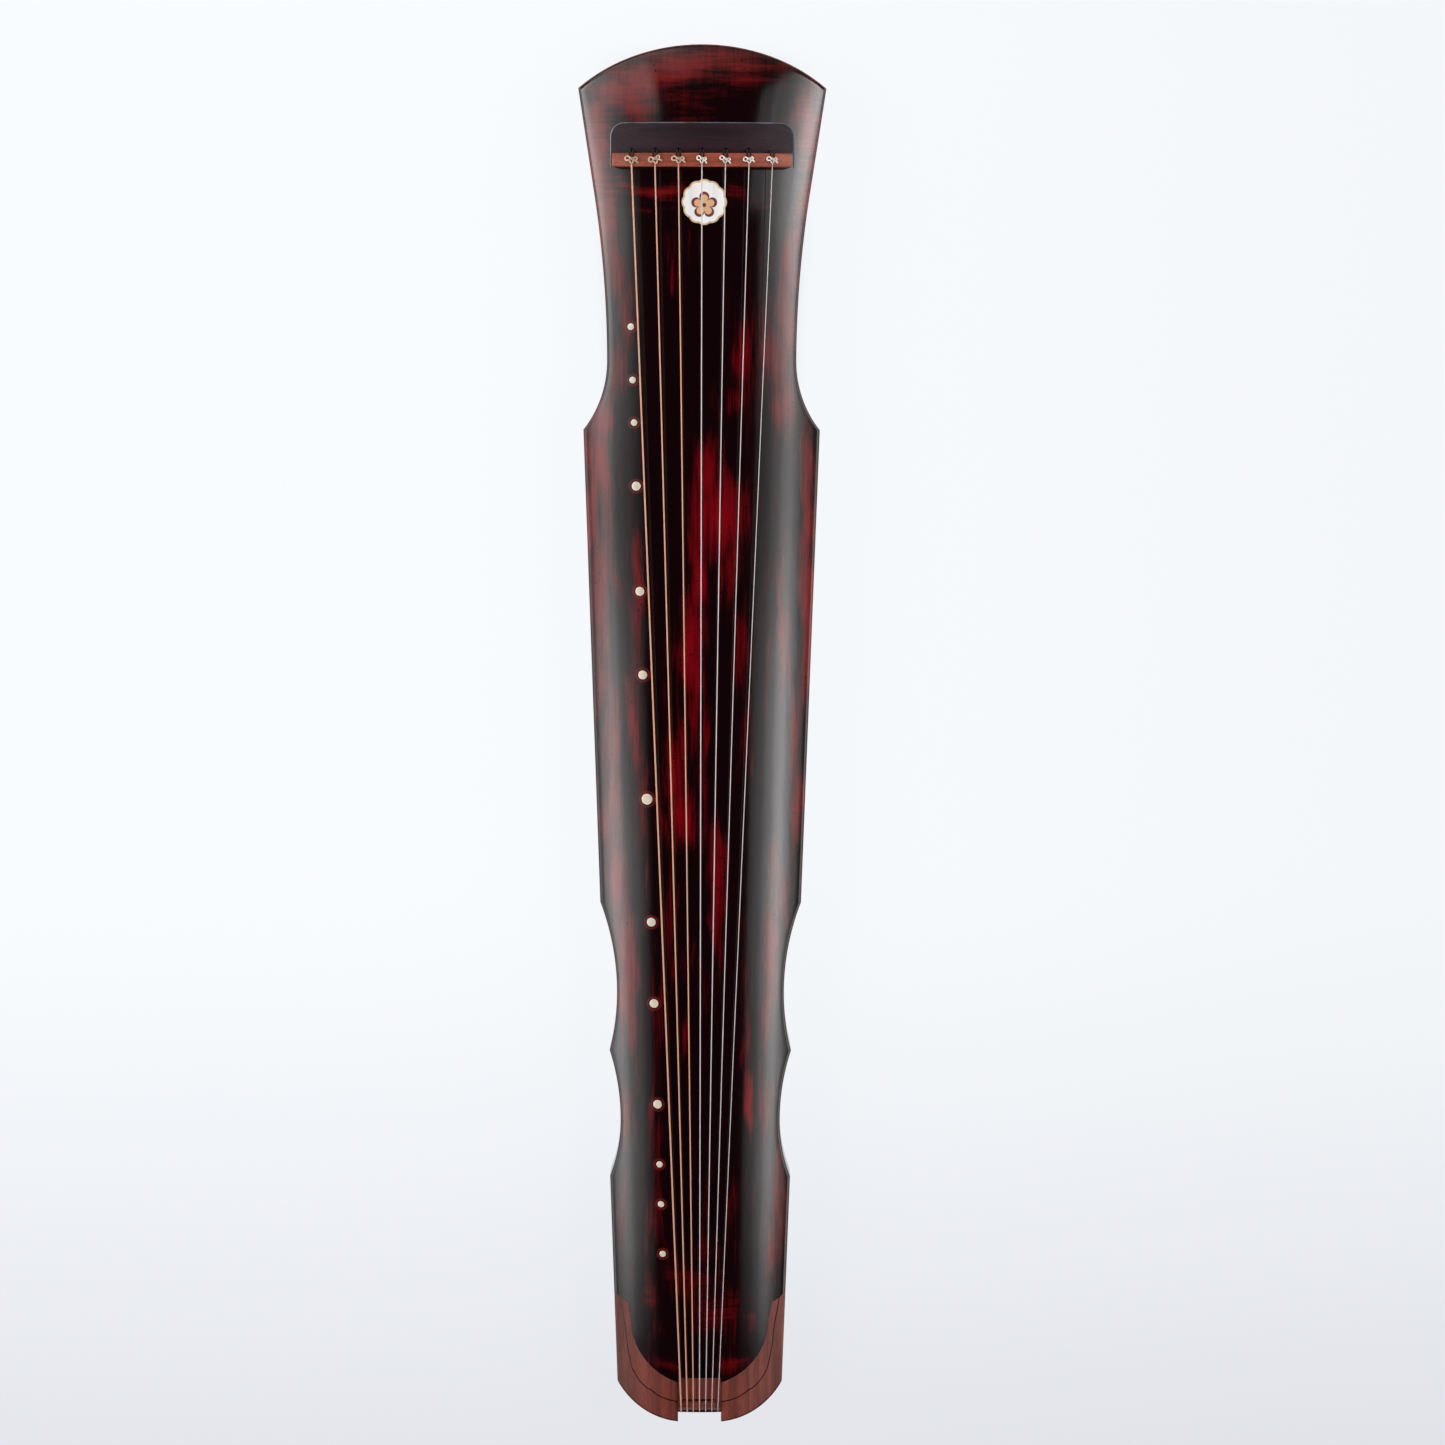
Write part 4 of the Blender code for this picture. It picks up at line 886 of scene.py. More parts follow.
def body_loop(step):
    """Closed loop round the body, with the notch in the tail."""
    marks = (TAIL_CORNER_X, *OUTLINE_CORNERS, HEAD_CORNER_X)
    sides = [(x, float(half_width(x))) for x in stretches(marks, step)]
    head = [(HEAD_X - float(head_drop(y)), y) for y in spread(HEAD_CORNER_HALF, 0, 40)[1:]]
    tail = [(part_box("gum_rest")[1].x, NOTCH_HALF)] + tail_arc(NOTCH_HALF, TAIL_CORNER_HALF, 24)[:-1]
    half = tail + sides + head
    return half + [(x, -y) for x, y in reversed(half[:-1])]


def tail_arc(start, end, steps):
    return [(TAIL_X + float(tail_drop(y)), y) for y in spread(start, end, steps)]


POOL_CORNER = 0.014
SLOT_BOX = (Vector((0.5096, -0.076, 0)), Vector((0.5416, 0.076, 0)))


def make_back_board():
    loops = [body_loop(0.004)]
    for name, *corner in (
        ("dragon_pool_rim", POOL_CORNER), ("phoenix_pool_rim", POOL_CORNER),
        ("foot_socket_far", 0.002, 3), ("foot_socket_near", 0.002, 3),
    ):
        loops.append(rounded_rectangle(*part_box(name), *corner))
    loops.append(rounded_rectangle(*SLOT_BOX, 0.006))
    mesh = flat_mesh("back_board_fine", loops, BACK_Z, BACK_Z + BACK_THICK)
    piece("back_board_lacquered", mesh, BACK_LACQUER, "back_board", "lacquer", width=0.0009)


# ---- Head -------------------------------------------------------------------------------------------------

BEAD_RADIUS = 0.00065
BEAD_OUT = 0.0008  # from the plate's edge to the bead's middle
LABEL_LOBES = 12


def collector_columns(half):
    corner = [half - COLLECTOR_CORNER * (1 - math.sin(angle)) for angle in quarter(10)]
    positive = spread(0, half - COLLECTOR_CORNER, 20)[1:-1] + corner
    return [-y for y in reversed(positive)] + [0.0] + positive


def collector_back(y, half):
    """The plate's edge towards the head, with its two corners rounded."""
    into_corner = max(abs(y) - (half - COLLECTOR_CORNER), 0)
    fall = COLLECTOR_CORNER - math.sqrt(max(COLLECTOR_CORNER**2 - into_corner**2, 0))
    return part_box("dew_collector")[1].x - fall


def make_collector():
    """The plate behind the bridge, its string holes, and the bead of lacquer round it."""
    low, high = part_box("dew_collector")
    half = high.y
    columns = collector_columns(half)
    mesh = slab_mesh(
        "dew_collector_fine", spread(0, 1, 10), columns,
        lambda share, y: (low.x + share * (collector_back(y, half) - low.x), y),
        lambda x, y: arch(x, y) + COLLECTOR_RAISE, lambda x, y: arch(x, y) - INLAY_DEPTH,
    )
    made = piece("dew_collector_plate", mesh, EBONY, "dew_collector", "ebony")
    cutter = bmesh.new()
    hole = {"segments": 32, "radius1": STRING_HOLE_RADIUS, "radius2": STRING_HOLE_RADIUS, "depth": 0.02}
    for number in range(1, STRINGS + 1):
        y = string_y(number, BRIDGE_STRING_X)
        place = Matrix.Translation((STRING_HOLE_X, y, float(arch(STRING_HOLE_X, y))))
        bmesh.ops.create_cone(cutter, matrix=place, cap_ends=True, **hole)
    holes = add_object("holes", from_bmesh("holes", cutter))
    drill = made.modifiers.new("holes", "BOOLEAN")
    drill.object = holes
    drilled = evaluated_mesh(made)
    made.modifiers.clear()
    made.data = drilled
    bpy.data.objects.remove(holes)
    bevelled(made, 0.0006)
    outward = []
    for y in columns:
        x = collector_back(y, half)
        at_side = abs(y) >= half - 0.004
        outward.append((x + 0.0003, y + math.copysign(BEAD_OUT, y)) if at_side else (x + BEAD_OUT, y))
    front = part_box("bridge")[0].x - 0.0004
    border = [(front, -half - BEAD_OUT)] + outward + [(front, half + BEAD_OUT)]
    route = [Vector((x, y, float(top_height(x, y)) + SEAT)) for x, y in border]
    piece("collector_bead", tube_mesh("collector_bead", smooth_route(route, 0.003), BEAD_RADIUS, 10), BEAD)


def make_bridge():
    low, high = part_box("bridge")
    mesh = slab_mesh(
        "bridge_fine", spread(low.x, high.x, 2), spread(low.y, high.y, 60), lambda x, y: (x, y),
        lambda x, y: arch(BRIDGE_STRING_X, y) + BRIDGE_HEIGHT, lambda x, y: arch(x, y) - INLAY_DEPTH,
    )
    piece("bridge_mountain", mesh, BRIDGE_WOOD, "bridge", "rosewood", width=0.0012, segments=4)


def make_label():
    """A thin scalloped disc of paper that follows the arch."""
    low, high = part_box("round_label")
    middle, radius = (low + high) / 2, (high.x - low.x) / 2
    turns, rings = 144, 12
    shape = bmesh.new()
    sheets = []
    for lift in (0.0006, 0.00028):
        def point(x, y):
            return shape.verts.new((x, y, float(arch(x, y)) + lift))

        centre, lines = point(middle.x, middle.y), []
        for k, (cosine, sine) in enumerate(circle(turns)):
            edge = radius * (0.945 + 0.055 * abs(math.cos(LABEL_LOBES * math.pi * k / turns)))
            reaches = [edge * ring / rings for ring in range(1, rings + 1)]
            lines.append([point(middle.x + reach * cosine, middle.y + reach * sine) for reach in reaches])
        for k in range(turns):
            near, far = lines[k], lines[(k + 1) % turns]
            shape.faces.new((centre, near[0], far[0]))
            for r in range(rings - 1):
                shape.faces.new((near[r], near[r + 1], far[r + 1], far[r]))
        sheets.append([line[-1] for line in lines])
    upper, lower = sheets
    for k in range(turns):
        m = (k + 1) % turns
        shape.faces.new((upper[k], lower[k], lower[m], upper[m]))
    look = make_printed_paper(middle, radius)
    piece("paper_label", from_bmesh("paper_label", shape), look, "round_label", "paper")


def make_hui():
    """Thirteen studs, each slightly domed with a softened edge."""
    for name, middle, radius in hui_spots():
        dome = [(radius * math.sin(a), 0.00028 * math.cos(a)) for a in spread(0, math.pi / 2 * 0.9, 6)]
        profile = dome + [(radius, -0.0001), (radius, -0.0016), (0, -0.0016)]
        place = surface_matrix(middle.x, middle.y, 0.00008)
        piece(name + "_shell", turned_mesh(name, profile, 40, place), SHELL, name, "shell")


# ---- Strings ----------------------------------------------------------------------------------------------

ROUTE_CLEAR = 0.0003  # gap between a string and what it runs over
FOOT_TURNS = 1.3
FOOT_STEPS = 52


def string_points(number):
    """The string's route, as the CAD has it: knot, bridge, nut, gum rest and away to its foot."""
    clear = STRING_DIAMETERS[number - 1] / 2 + ROUTE_CLEAR
    bridge_y, nut_y = string_y(number, BRIDGE_STRING_X), string_y(number, NUT_STRING_X)
    bridge_z, crest_z = bridge_top(bridge_y) + clear, nut_crest() + clear
    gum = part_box("gum_rest")[0]
    front = Vector((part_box("bridge")[0].x, bridge_y, bridge_z))
    nut = Vector((NUT_STRING_X, nut_y, crest_z))
    route = [Vector((KNOT_X - 0.003, bridge_y, bridge_z + 0.0006)), front + Vector((0.001, 0, 0))]
    route += [front.lerp(nut, share) for share in spread(0, 1, 60)]
    reach = NUT_ROUND + clear
    for angle in quarter(14)[1:]:
        route.append(nut - reach * Vector((math.sin(angle), 0, 1 - math.cos(angle))))
    corner = Vector((gum.x - clear, nut_y, gum.z - clear))
    reach = GUM_REST_ROUND + clear
    for angle in quarter(12):
        route.append(corner + reach * Vector((1 - math.cos(angle), 0, 1 - math.sin(angle))))
    return route + underside_points(number, route[-1], clear)


def underside_points(number, start, clear):
    """From the gum rest to the winding on the string's foot, then round it."""
    far = number <= STRINGS_ON_FAR_FOOT
    low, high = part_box("string_winding_far" if far else "string_winding_near")
    centre = (low + high) / 2
    side = 1 if far else -1
    place_on_foot = number if far else number - STRINGS_ON_FAR_FOOT
    level = high.z - 0.0019 * place_on_foot
    away = Vector((centre.x - start.x, centre.y - start.y))
    reach = (high.x - low.x) / 2 + clear - ROUTE_CLEAR
    swing = math.atan2(away.y, away.x) - side * math.asin(reach / away.length)
    run = math.sqrt(away.length**2 - reach**2)
    end = Vector((start.x + run * math.cos(swing), start.y + run * math.sin(swing), level))
    route = [start.lerp(end, share) for share in spread(0, 1, 24)[1:]]
    first = math.atan2(end.y - centre.y, end.x - centre.x)
    for share in spread(0, 1, FOOT_STEPS)[1:]:
        around = first + side * 2 * math.pi * FOOT_TURNS * share
        spot = centre + Vector((math.cos(around), math.sin(around), 0)) * (reach - 0.0011 * share)
        route.append(Vector((spot.x, spot.y, level - 0.0009 * share)))
    return route


# The fly-head knot seen from above, in mm: across toward the near side, along toward the head, and height.
# The string's end comes out at the near side, crosses the middle, rounds the far lobe, dips at the bend where
# the string leaves, rounds the near lobe and tucks under itself.
KNOT_LINE = (
    (6.3, -2.7, 0.4), (5.0, -1.6, 0.7), (3.6, -0.9, 1.5), (1.6, -0.6, 1.9), (-0.6, 0.5, 1.9),
    (-2.2, 2.1, 1.3), (-4.2, 2.8, 0.6), (-6.0, 1.5, 0.4), (-6.0, -0.4, 0.5), (-4.4, -1.4, 1.0),
    (-2.4, -1.1, 1.7), (-1.2, -2.6, 1.3), (0.1, -3.8, 0.6), (1.5, -2.7, 0.6), (1.7, -0.9, 0.4),
    (2.0, 1.4, 0.9), (3.6, 2.7, 0.9), (5.0, 1.5, 0.9), (4.2, -0.2, 0.7), (2.4, 0.2, 0.4),
    (0.6, 1.6, 0.4), (-1.0, 1.4, 0.3), (-2.0, 0.2, 0.2),
)
KNOT_TILTS = (-6, 14, -4, -12, -16, 3, -8)  # degrees, counter-clockwise from above
COPPER_KNOT = (0.88, 0.00072)  # size against KNOT_LINE, and the strand's radius
SILVER_KNOT = (0.76, 0.00064)


def fly_head(number):
    """The fly-head knot that ends a string, a small pretzel of the string itself lying on the bridge."""
    size, radius = COPPER_KNOT if number <= COPPER_STRINGS else SILVER_KNOT
    y = string_y(number, BRIDGE_STRING_X)
    base = bridge_top(y) + 0.0016 + radius
    turn = Matrix.Rotation(math.radians(KNOT_TILTS[number - 1]), 2)
    stretch = 1 + 0.06 * math.sin(2.7 * number)
    route = []
    for across, along, height in KNOT_LINE:
        spot = turn @ Vector((along / stretch, -across * stretch)) * size / 1000
        route.append(Vector((KNOT_X + 0.0006 + spot.x, y + spot.y, base + 1.15 * radius * height)))
    return smooth_route(route, 0.0003), radius


def make_strings():
    for number, diameter in enumerate(STRING_DIAMETERS, start=1):
        copper = number <= COPPER_STRINGS
        look, knot_look = (COPPER, COPPER_KNOT_LOOK) if copper else (SILVER, SILVER_KNOT_LOOK)
        slot = "copper_winding" if copper else "silver_winding"
        mesh = tube_mesh(f"string_{number}_fine", string_points(number), diameter / 2, 12)
        piece(f"string_{number}_wound", mesh, look, f"string_{number}", slot)
        name = f"fly_head_{number}"
        piece(name, tube_mesh(name, *fly_head(number), 10), knot_look, slot=slot)


WINDING_GAUGE = 0.00062
WINDING_STEPS = 40


def make_windings():
    """The bundle of string ends under the visible turns on each foot, in two layers."""
    for name, look, slot in (
        ("string_winding_far", COPPER, "copper_winding"), ("string_winding_near", SILVER, "silver_winding"),
    ):
        low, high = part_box(name)
        pitch = 2 * WINDING_GAUGE
        shape = bmesh.new()
        for layer in (0, 1):
            reach = FOOT_NECK + WINDING_GAUGE * (1 + 1.8 * layer) + 0.0002
            count = round(((high.z - low.z) / pitch - 1 - layer) * WINDING_STEPS)
            top = high.z - WINDING_GAUGE * (1 + layer)
            route = coil((low + high) / 2, reach, top, pitch, count, WINDING_STEPS)
            tube_into(shape, route, WINDING_GAUGE, 8)
        piece(name + "_turns", from_bmesh(name, shape), look, name, slot)


def make_loops():
    """Silk loops: two strands come up each hole, over the bridge's back edge and round under the knot."""
    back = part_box("bridge")[1].x
    for number in range(1, STRINGS + 1):
        y = string_y(number, BRIDGE_STRING_X)
        top = bridge_top(y)
        low = float(arch(STRING_HOLE_X, y)) + COLLECTOR_RAISE
        strand = (
            (STRING_HOLE_X, 0.0008, low - 0.009), (STRING_HOLE_X, 0.0008, low - 0.001),
            (STRING_HOLE_X - 0.0004, 0.0010, low + 0.006), (back + 0.0012, 0.0013, top - 0.0035),
            (back + 0.0006, 0.0014, top + 0.0002), (back - 0.0012, 0.0015, top + 0.0008),
            (KNOT_X + 0.0014, 0.0013, top + 0.0008), (KNOT_X - 0.0008, 0.0009, top + 0.0008),
        )
        left = [(x, y + aside, z) for x, aside, z in strand]
        right = [(x, y - aside, z) for x, aside, z in reversed(strand)]
        route = smooth_route(left + [(KNOT_X - 0.0018, y, top + 0.0008)] + right, 0.0004)
        mesh = plied_mesh("silk_loop", route, 0.00072, 8)
        piece(f"silk_loop_{number}", mesh, SILK, f"tuning_cord_{number}", "silk_cord")


# ---- Pegs -------------------------------------------------------------------------------------------------

PEG_NECK = 0.0050
PEG_CORD_RADIUS = 0.00075
PEG_CORD_TURNS = 3
PEG_CORD_STEPS = 30  # to each turn
# A peg's side from its top down, as (radius, height): first from the top, then from the bottom
PEG_UPPER = (
    (0.0069, 0), (0.0075, -0.0009), (0.0075, -0.0042), (0.0066, -0.0054), (0.0052, -0.0076),
    (PEG_NECK, -0.0102), (0.0058, -0.0126), (0.0069, -0.0152), (0.0077, -0.0220),
)
PEG_LOWER = ((0.0080, 0.0035), (0.0078, 0.0012), (0.0066, 0))
GUARD_SOLE_HALF = 0.013  # the flat part of the sole
GUARD_RISE = 0.019


def make_pegs():
    """Turned pegs, bored for the cord, with a few turns of it tied round each neck."""
    for number in range(1, STRINGS + 1):
        name, body = f"tuning_peg_{number}", f"peg_{number}"
        low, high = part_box(name)
        centre = Vector(((low.x + high.x) / 2, (low.y + high.y) / 2, 0))
        side = [(r, high.z + z) for r, z in PEG_UPPER] + [(r, low.z + z) for r, z in PEG_LOWER]
        bore = [(PEG_BORE + 0.0004, low.z), (PEG_BORE, low.z + 0.0004), (PEG_BORE, high.z)]
        profile = smooth_pairs(side, 0.0005) + bore + [(0.0052, high.z)]
        mesh = turned_mesh(f"peg_{number}_fine", profile, 48, Matrix.Translation(centre), bored=True)
        piece(f"peg_{number}_turned", mesh, TURNED_WOOD, name, "rosewood", body)
        count = PEG_CORD_TURNS * PEG_CORD_STEPS
        route = coil(centre, PEG_NECK + 0.0007, high.z - 0.0074, 0.0014, count, PEG_CORD_STEPS, number)
        cord = plied_mesh("peg_cord", route, PEG_CORD_RADIUS, 6)
        piece(f"peg_cord_{number}", cord, SILK, slot="silk_cord", body=body)


def make_guards():
    """The two legs that keep the pegs off the table."""
    for name in ("peg_guard_far", "peg_guard_near"):
        low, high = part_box(name)
        middle, reach = (low.x + high.x) / 2, (high.x - low.x) / 2

        def sole(x, y):
            beyond = np.maximum(np.abs(x - middle) - GUARD_SOLE_HALF, 0) / (reach - GUARD_SOLE_HALF)
            return GUARD_RISE * beyond**1.6

        rows = stretches((low.x, middle - GUARD_SOLE_HALF, middle + GUARD_SOLE_HALF, high.x), 0.0012)
        columns = [low.y, high.y]
        mesh = slab_mesh(name + "_fine", rows, columns, lambda x, y: (x, y), lambda x, y: high.z, sole)
        piece(name + "_leg", mesh, TURNED_WOOD, name, "rosewood", width=0.0016, segments=4)


# ---- Tail -------------------------------------------------------------------------------------------------

CROWN_TIP = (-0.4974, 0.0775)
CROWN_STEP = (-0.506, 0.0655)
CROWN_ELLIPSE_X = -0.525
CROWN_ELLIPSE_LONG = 0.057
CROWN_ELLIPSE_HALF = 0.062
CROWN_ELLIPSE_TURN = 1.02  # the ellipse's angle that faces the outline's corner
# The incised line, from the tip down the side, round the corner and in to the nut
GROOVE_SIDE = ((-0.5025, 0.0723), (-0.5300, 0.0677), (-0.5510, 0.0652), (-0.5690, 0.0613))
GROOVE_END = (
    (-0.5690, 0.0613), (-0.5785, 0.0555), (-0.5848, 0.0492), (-0.5878, 0.0440), (-0.5925, 0.0372),
    (-0.5955, 0.0290), (-0.5974, 0.0199),
)
GROOVE_HALF = 0.00055
GROOVE_DEPTH = 0.0007
CROWN_ROUNDING = 0.0016


def resampled(points, count):
    """count + 1 points at equal distances along a polyline of (x, y)."""
    points = np.array(points, float)
    run = np.concatenate([[0], np.cumsum(np.hypot(*np.diff(points, axis=0).T))])
    at = np.linspace(0, run[-1], count + 1)
    return np.stack([np.interp(at, run, part) for part in points.T], 1)


def crown_ellipse(start, end):
    return [
        (CROWN_ELLIPSE_X - CROWN_ELLIPSE_LONG * math.cos(angle), CROWN_ELLIPSE_HALF * math.sin(angle))
        for angle in spread(start, end, 30)
    ]


def crown_lines():
    """Matching rows of (inner, groove, outer) points down the side and round the end of a crown corner."""
    start = NOTCH_HALF + 0.0003
    end_turn = math.asin(start / CROWN_ELLIPSE_HALF)
    rows = []
    for inner, groove, outer in (
        ([CROWN_STEP] + crown_ellipse(math.pi / 2, CROWN_ELLIPSE_TURN), GROOVE_SIDE,
         [CROWN_TIP, (TAIL_CORNER_X, TAIL_CORNER_HALF)]),
        (crown_ellipse(CROWN_ELLIPSE_TURN, end_turn), GROOVE_END, tail_arc(TAIL_CORNER_HALF, start, 60)),
    ):
        rows.append([resampled(line, 60) for line in (inner, smooth_pairs(groove, 0.001), outer)])
    return [np.concatenate([side, end[1:]]) for side, end in zip(*rows)]


def make_crown_corners():
    """Hardwood corners inlaid in the tail, each with its incised line."""
    inner, groove, outer = crown_lines()
    in_length, out_length = (np.hypot(*(line - groove).T)[:, None] for line in (inner, outer))
    inward, outward = (inner - groove) / in_length, (outer - groove) / out_length
    columns = []  # (points, how far they lie below the surface)
    for share in (0.0, 0.02, 0.06, 0.2, 0.4, 0.6, 0.8, 0.92):
        away = inward * (in_length - GROOVE_HALF) * share
        columns.append((inner - away, 0.0 if share else 0.0002))
    for offset in spread(-1, 1, 6):
        toward = inward if offset < 0 else outward
        columns.append((groove + toward * abs(offset) * GROOVE_HALF, GROOVE_DEPTH * (1 - offset**2)))
    for share in (0.1, 0.3, 0.5, 0.7, 0.85):
        span = out_length - GROOVE_HALF - CROWN_ROUNDING
        columns.append((groove + outward * (GROOVE_HALF + span * share), 0.0))
    for angle in quarter(6):
        edge = outer - outward * CROWN_ROUNDING * (1 - math.sin(angle))
        columns.append((edge, CROWN_ROUNDING * (1 - math.cos(angle))))
    grid = np.stack([points for points, _ in columns], 1)
    sink = np.array([depth for _, depth in columns])
    for name, side in (("crown_corner_far", 1), ("crown_corner_near", -1)):
        x, y = grid[..., 0], side * grid[..., 1]
        surface = arch(x, y)
        top, bottom = (np.stack([x, y, z], 2) for z in (surface + SEAT - sink, surface - CROWN_DEPTH))
        mesh = grid_solid(name + "_fine", top, bottom)
        piece(name + "_inlay", mesh, ROSEWOOD, name, "rosewood", sharp=30)


# The nut from its head end: a flush part as (x, height over the lacquer), then the rise of its ridge as
# (x, depth below the crest)
NUT_FLUSH = (
    (-0.584, 0), (-0.5946, 0), (-0.5950, -0.0006), (-0.5956, -0.0009), (-0.5961, -0.0004), (-0.5964, 0.0014),
)
NUT_RIDGE = ((-0.5968, 0.0007), (-0.5972, 0.0001))


def make_nut():
    """Dragon's gums: a flush part, a fine groove, the ridge that the strings cross, and its fall."""
    low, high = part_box("dragon_gums")
    crest = nut_crest()
    top = [(x, float(arch(x, 0)) + SEAT + lift) for x, lift in ((high.x, 0), *NUT_FLUSH)]
    ridge = [(x, crest - depth) for x, depth in NUT_RIDGE]
    reach = NUT_ROUND
    fall = [(NUT_STRING_X - reach * math.sin(a), crest - reach * (1 - math.cos(a))) for a in quarter(12)]
    mesh = extruded_mesh("dragon_gums_fine", top + ridge + fall + [(low.x, low.z), (high.x, low.z)], high.y)
    piece("dragon_gums_nut", mesh, ROSEWOOD, "dragon_gums", "rosewood", width=0.0003, segments=2, angle=60)


def make_gum_rest():
    """The block under the tail that the strings turn round."""
    low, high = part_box("gum_rest")
    reach = GUM_REST_ROUND
    arc = [(low.x + reach * (1 - math.cos(a)), low.z + reach * (1 - math.sin(a))) for a in quarter(10)]
    profile = [(low.x, high.z)] + arc + [(high.x - 0.006, low.z), (high.x, BACK_Z), (high.x, high.z)]
    mesh = extruded_mesh("gum_rest_fine", profile, high.y)
    piece("gum_rest_block", mesh, ROSEWOOD, "gum_rest", "rosewood", width=0.0004, segments=2, angle=50)


def make_tail_rests():
    for name, side in (("tail_rest_far", 1), ("tail_rest_near", -1)):
        low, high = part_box(name)
        inner = min(abs(low.y), abs(high.y))
        loop = tail_arc(inner, TAIL_CORNER_HALF, 40) + [(high.x, float(taper(high.x))), (high.x, inner)]
        loop = [(x, side * y) for x, y in loop]
        mesh = flat_mesh(name + "_fine", [loop], BACK_Z - TAIL_REST_THICK, BACK_Z - 0.0003)
        piece(name + "_plate", mesh, ROSEWOOD, name, "rosewood", width=0.0010)


# ---- Underneath -------------------------------------------------------------------------------------------

RIM_WALL = 0.0035
# A foot's side below its collar, as (radius, height): its waist is FOOT_NECK
FOOT_COLLAR = ((0.0094, 0), (0.0100, -0.0006), (0.0098, -0.0014), (FOOT_NECK, -0.0024))
FOOT_FLARE = (
    (FOOT_NECK, 0.0178), (0.0094, 0.0148), (0.0112, 0.0105), (0.0130, 0.0062), (0.0138, 0.0030),
    (0.0136, 0.0010), (0.0128, 0),
)


def make_pool_rims():
    for name in ("dragon_pool_rim", "phoenix_pool_rim"):
        low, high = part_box(name)
        wall = Vector((RIM_WALL, RIM_WALL, 0))
        inner = rounded_rectangle(low + wall, high - wall, POOL_CORNER - RIM_WALL)
        mesh = flat_mesh(name + "_fine", [rounded_rectangle(low, high, POOL_CORNER), inner], low.z, high.z)
        piece(name + "_lining", mesh, ROSEWOOD, name, "rosewood", width=0.0007)


def make_feet():
    """Goose feet, each under its socket: a collar, a waist that the strings wind round, and a flared foot."""
    for side in ("far", "near"):
        name, socket = f"goose_foot_{side}", f"foot_socket_{side}"
        low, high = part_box(name)
        socket_low, socket_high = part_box(socket)
        top = socket_low.z - 0.0003
        outline = [(r, top + z) for r, z in FOOT_COLLAR] + list(FOOT_FLARE)
        place = Matrix.Translation(((low.x + high.x) / 2, (low.y + high.y) / 2, 0))
        profile = [(0, top)] + smooth_pairs(outline, 0.0006) + [(0, 0)]
        mesh = turned_mesh(name + "_fine", profile, 64, place)
        piece(name + "_turned", mesh, TURNED_WOOD, name, "rosewood")
        loop = rounded_rectangle(socket_low, socket_high, 0.0018, 4)
        mesh = flat_mesh(socket + "_fine", [loop], socket_low.z, socket_high.z)
        piece(socket + "_plate", mesh, EBONY, socket, "ebony", width=0.0004, segments=2)


def dress_inner_nodes():
    """The CAD's own solids that stay: the pillars inside and the floor of the peg slot."""
    for name, look in (("heaven_pillar", BARE_WOOD), ("earth_pillar", BARE_WOOD), ("peg_plate", EBONY)):
        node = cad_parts[name]
        node.data.materials.clear()
        node.data.materials.append(look)


# ---- Floor, light and camera ------------------------------------------------------------------------------

def make_floor():
    """A pale floor that glows rather than being lit. The glow stands in for the studio light on it. It is
    painted darker and bluer past the tail and a little dimmer on the near side, with a painted soft shadow
    inside the instrument's outline.
    """
    look = Look("pale_floor", roughness=0.9, specular_ior_level=0.05, base_color=(0.05, 0.05, 0.05, 1))
    x, y, _ = look.parts(look.place())
    # Painted fall-off of the studio light: the glow is darker and bluer past the tail and dimmer on the near
    # side.
    tone = look.blend(look.fit(x, -0.85, -0.10), (0.70, 0.715, 0.76), (0.895, 0.915, 0.945))
    near_side = look.fit(y, -0.75, 0.2, 0.955, 1.0)
    # Painted shadow: the glow is dimmed inside the instrument's outline, where the body would shade the
    # floor.
    aside = look.math("MULTIPLY_ADD", x, -0.035, look.math("ABSOLUTE", y))
    under = look.times(look.below(aside, 0.025, 0.084), look.below(look.math("ABSOLUTE", x), 0.54, 0.625))
    look.to("Emission Color", tone)
    look.to("Emission Strength", look.math("MULTIPLY_ADD", near_side, look.times(under, -0.62), near_side))
    shape = bmesh.new()
    bmesh.ops.create_circle(shape, cap_ends=True, segments=96, radius=40)
    mesh = from_bmesh("floor", shape)
    mesh.materials.append(look.material)
    add_object("floor", mesh)


def make_world():
    """Pale round the horizon and dark overhead, like a studio with black above the table."""
    world = bpy.data.worlds.new("studio")
    bpy.context.scene.world = world
    world.use_nodes = True
    tree = world.node_tree
    parts = add_node(tree, "SeparateXYZ", {0: add_node(tree, "TexCoord", {}).outputs["Generated"]})
    stops = ((0.16, (0.84, 0.86, 0.91)), (0.46, (0.004, 0.004, 0.005)))
    sky = add_ramp(tree, parts.outputs["Z"], stops, "LINEAR")
    tree.links.new(sky, tree.nodes["Background"].inputs["Color"])


# Brightness across each softbox, inner edge first: (percent of its width, percent of its stated brightness)
FAR_ACROSS = ((0, 0), (12, 10), (30, 26), (45, 42), (56, 85), (66, 100), (78, 70), (100, 0))
NEAR_ACROSS = ((0, 10), (18, 22), (36, 55), (46, 105), (55, 125), (64, 80), (76, 30), (100, 0))
# The same along their lengths, tail end first: bright over the waist and over the head
FAR_ALONG = ((0, 30), (12, 90), (28, 115), (36, 95), (48, 50), (58, 110), (70, 140), (100, 140))
NEAR_ALONG = ((0, 20), (12, 70), (28, 105), (36, 95), (50, 50), (62, 100), (80, 135), (100, 135))
# A dim panel beyond the head, its lower edge first, and the same from its near end to its far end
PANEL_UP = ((0, 120), (53, 120), (59, 78), (62, 62), (65, 36), (67.5, 6), (69, 0))
PANEL_ALONG = ((0, 30), (30, 30), (46, 35), (54, 70), (61, 130), (75, 190), (100, 190))
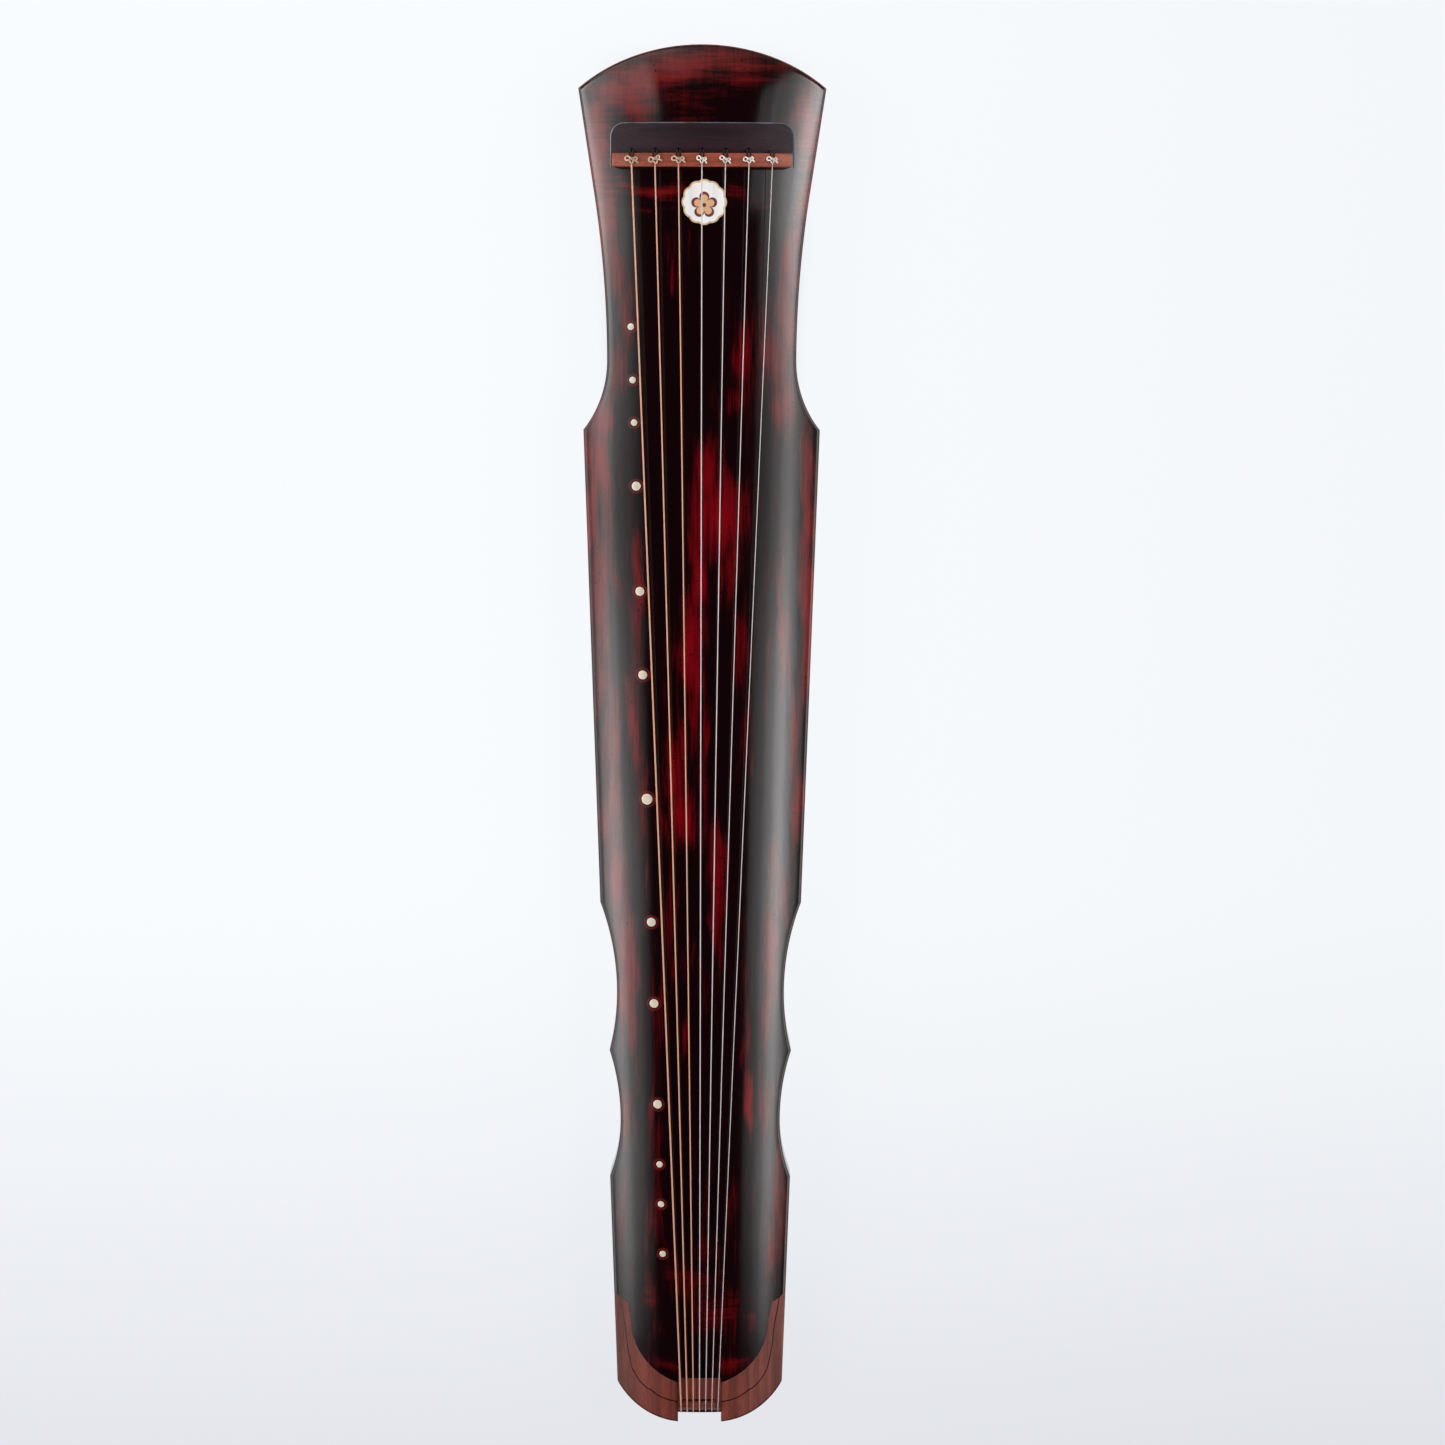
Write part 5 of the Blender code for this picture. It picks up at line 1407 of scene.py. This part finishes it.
# A smaller one in front of its far upper corner, which lights the head's far corner
CORNER_UP = ((0, 55), (15, 90), (30, 120), (50, 90), (70, 35), (87, 8), (100, 0))
CORNER_ALONG = ((0, 0), (10, 100), (100, 100))
PLAIN = ((0, 100), (100, 100))
CORNER_SHIFT = (2.25, 0.66, 0.0)


def graded_light(name, size, radiance, matrix, shares_x, shares_y):
    """A flat light whose brightness varies along both its sides. It shines along its own -Z."""
    light = bpy.data.lights.new(name, "AREA")
    light.shape = "RECTANGLE"
    light.size, light.size_y = size
    light.energy = radiance * math.pi * light.size * light.size_y
    light.use_nodes = True
    tree = light.node_tree
    spot = add_node(tree, "SeparateXYZ", {0: add_node(tree, "NewGeometry", {}).outputs["Parametric"]})
    brightest = max(share for _, share in shares_x)
    ramps = []
    for axis, stops, most in (("X", shares_x, brightest), ("Y", shares_y, 100)):
        stops = [(place / 100, (share / most,) * 3) for place, share in stops]
        ramps.append(add_ramp(tree, spot.outputs[axis], stops))
    product = add_node(tree, "Math", {0: ramps[0], 1: ramps[1]}, operation="MULTIPLY")
    strength = add_node(tree, "Math", {0: product.outputs[0], 1: brightest / 100}, operation="MULTIPLY")
    tree.links.new(strength.outputs[0], tree.nodes["Emission"].inputs["Strength"])
    lamp = add_object(name, light)
    lamp.matrix_world = matrix
    lamp.visible_camera = False


def side_matrix(angle, distance, middle_x):
    """Beside the table and facing it, angle degrees from overhead, its +Y across toward the far side."""
    turn = math.radians(angle)
    place = Vector((middle_x, distance * math.sin(turn), distance * math.cos(turn)))
    return Matrix.Translation(place) @ Matrix.Rotation(-turn, 4, "X")


def end_matrix(angle, distance):
    """Beyond the head and facing it, angle degrees from overhead, its +X toward the far side."""
    turn = math.radians(angle)
    toward = Vector((-math.sin(turn), 0, -math.cos(turn)))
    along, up = Vector((0, 1, 0)), Vector((-math.cos(turn), 0, math.sin(turn)))
    basis = Matrix((along, up, -toward)).transposed().to_4x4()
    return Matrix.Translation(-toward * distance) @ basis


SIDE_DISTANCE = 5.0
SOFTBOX_ENDS = (-2.35, 2.15)
SOFTBOX_WIDTH = 2.15
FILL = (5.0, 2.6)  # sides of the two lower lights


def make_lights():
    low, high = SOFTBOX_ENDS
    size, middle = (high - low, SOFTBOX_WIDTH), (low + high) / 2
    far, near = side_matrix(34.5, SIDE_DISTANCE, middle), side_matrix(-33.0, SIDE_DISTANCE, middle)
    near_across = [(100 - place, share) for place, share in reversed(NEAR_ACROSS)]
    graded_light("far_softbox", size, 5.4, far, FAR_ALONG, FAR_ACROSS)
    graded_light("near_softbox", size, 5.9, near, NEAR_ALONG, near_across)
    # Two lower lights brighten the colours and glint only on steep edges
    graded_light("far_fill", FILL, 2.4, side_matrix(62, 4.5, 0.2), PLAIN, PLAIN)
    graded_light("near_fill", FILL, 2.4, side_matrix(-62, 4.5, 0.2), PLAIN, PLAIN)
    graded_light("head_panel", (7.0, 2.2), 0.8, end_matrix(31, 5.0), PANEL_ALONG, PANEL_UP)
    corner = end_matrix(31, 4.95) @ Matrix.Translation(CORNER_SHIFT)
    graded_light("corner_panel", (2.5, 0.88), 1.35, corner, CORNER_ALONG, CORNER_UP)
    graded_light("near_strip", (1.15, 0.45), 0.75, side_matrix(-19.5, SIDE_DISTANCE, 1.55), PLAIN, PLAIN)


CAMERA_PLACE = (0.4122, -0.0191, 3.0)
CAMERA_TILT = math.radians(7.518)
CAMERA_ROLL = math.radians(0.168)
CAMERA_LENS = 83.09


def make_camera():
    """Straight over the instrument, its head at the top of the picture."""
    data = bpy.data.cameras.new("camera")
    data.lens = CAMERA_LENS
    data.sensor_width = 36
    camera = add_object("camera", data)
    right = Vector((0, -1, 0))
    up = Vector((math.cos(CAMERA_TILT), 0, -math.sin(CAMERA_TILT)))
    turn = Matrix((right, up, right.cross(up))).transposed() @ Matrix.Rotation(CAMERA_ROLL, 3, "Z")
    camera.matrix_world = Matrix.Translation(CAMERA_PLACE) @ turn.to_4x4()
    bpy.context.scene.camera = camera


for make in (
    make_camera, make_soundboard, make_back_board, make_collector, make_bridge, make_label, make_hui,
    make_strings, make_windings, make_loops, make_pegs, make_guards, make_crown_corners, make_nut,
    make_gum_rest, make_tail_rests, make_pool_rims, make_feet, dress_inner_nodes, make_floor, make_world,
    make_lights,
):
    make()
bpy.context.scene.view_settings.view_transform = "Standard"
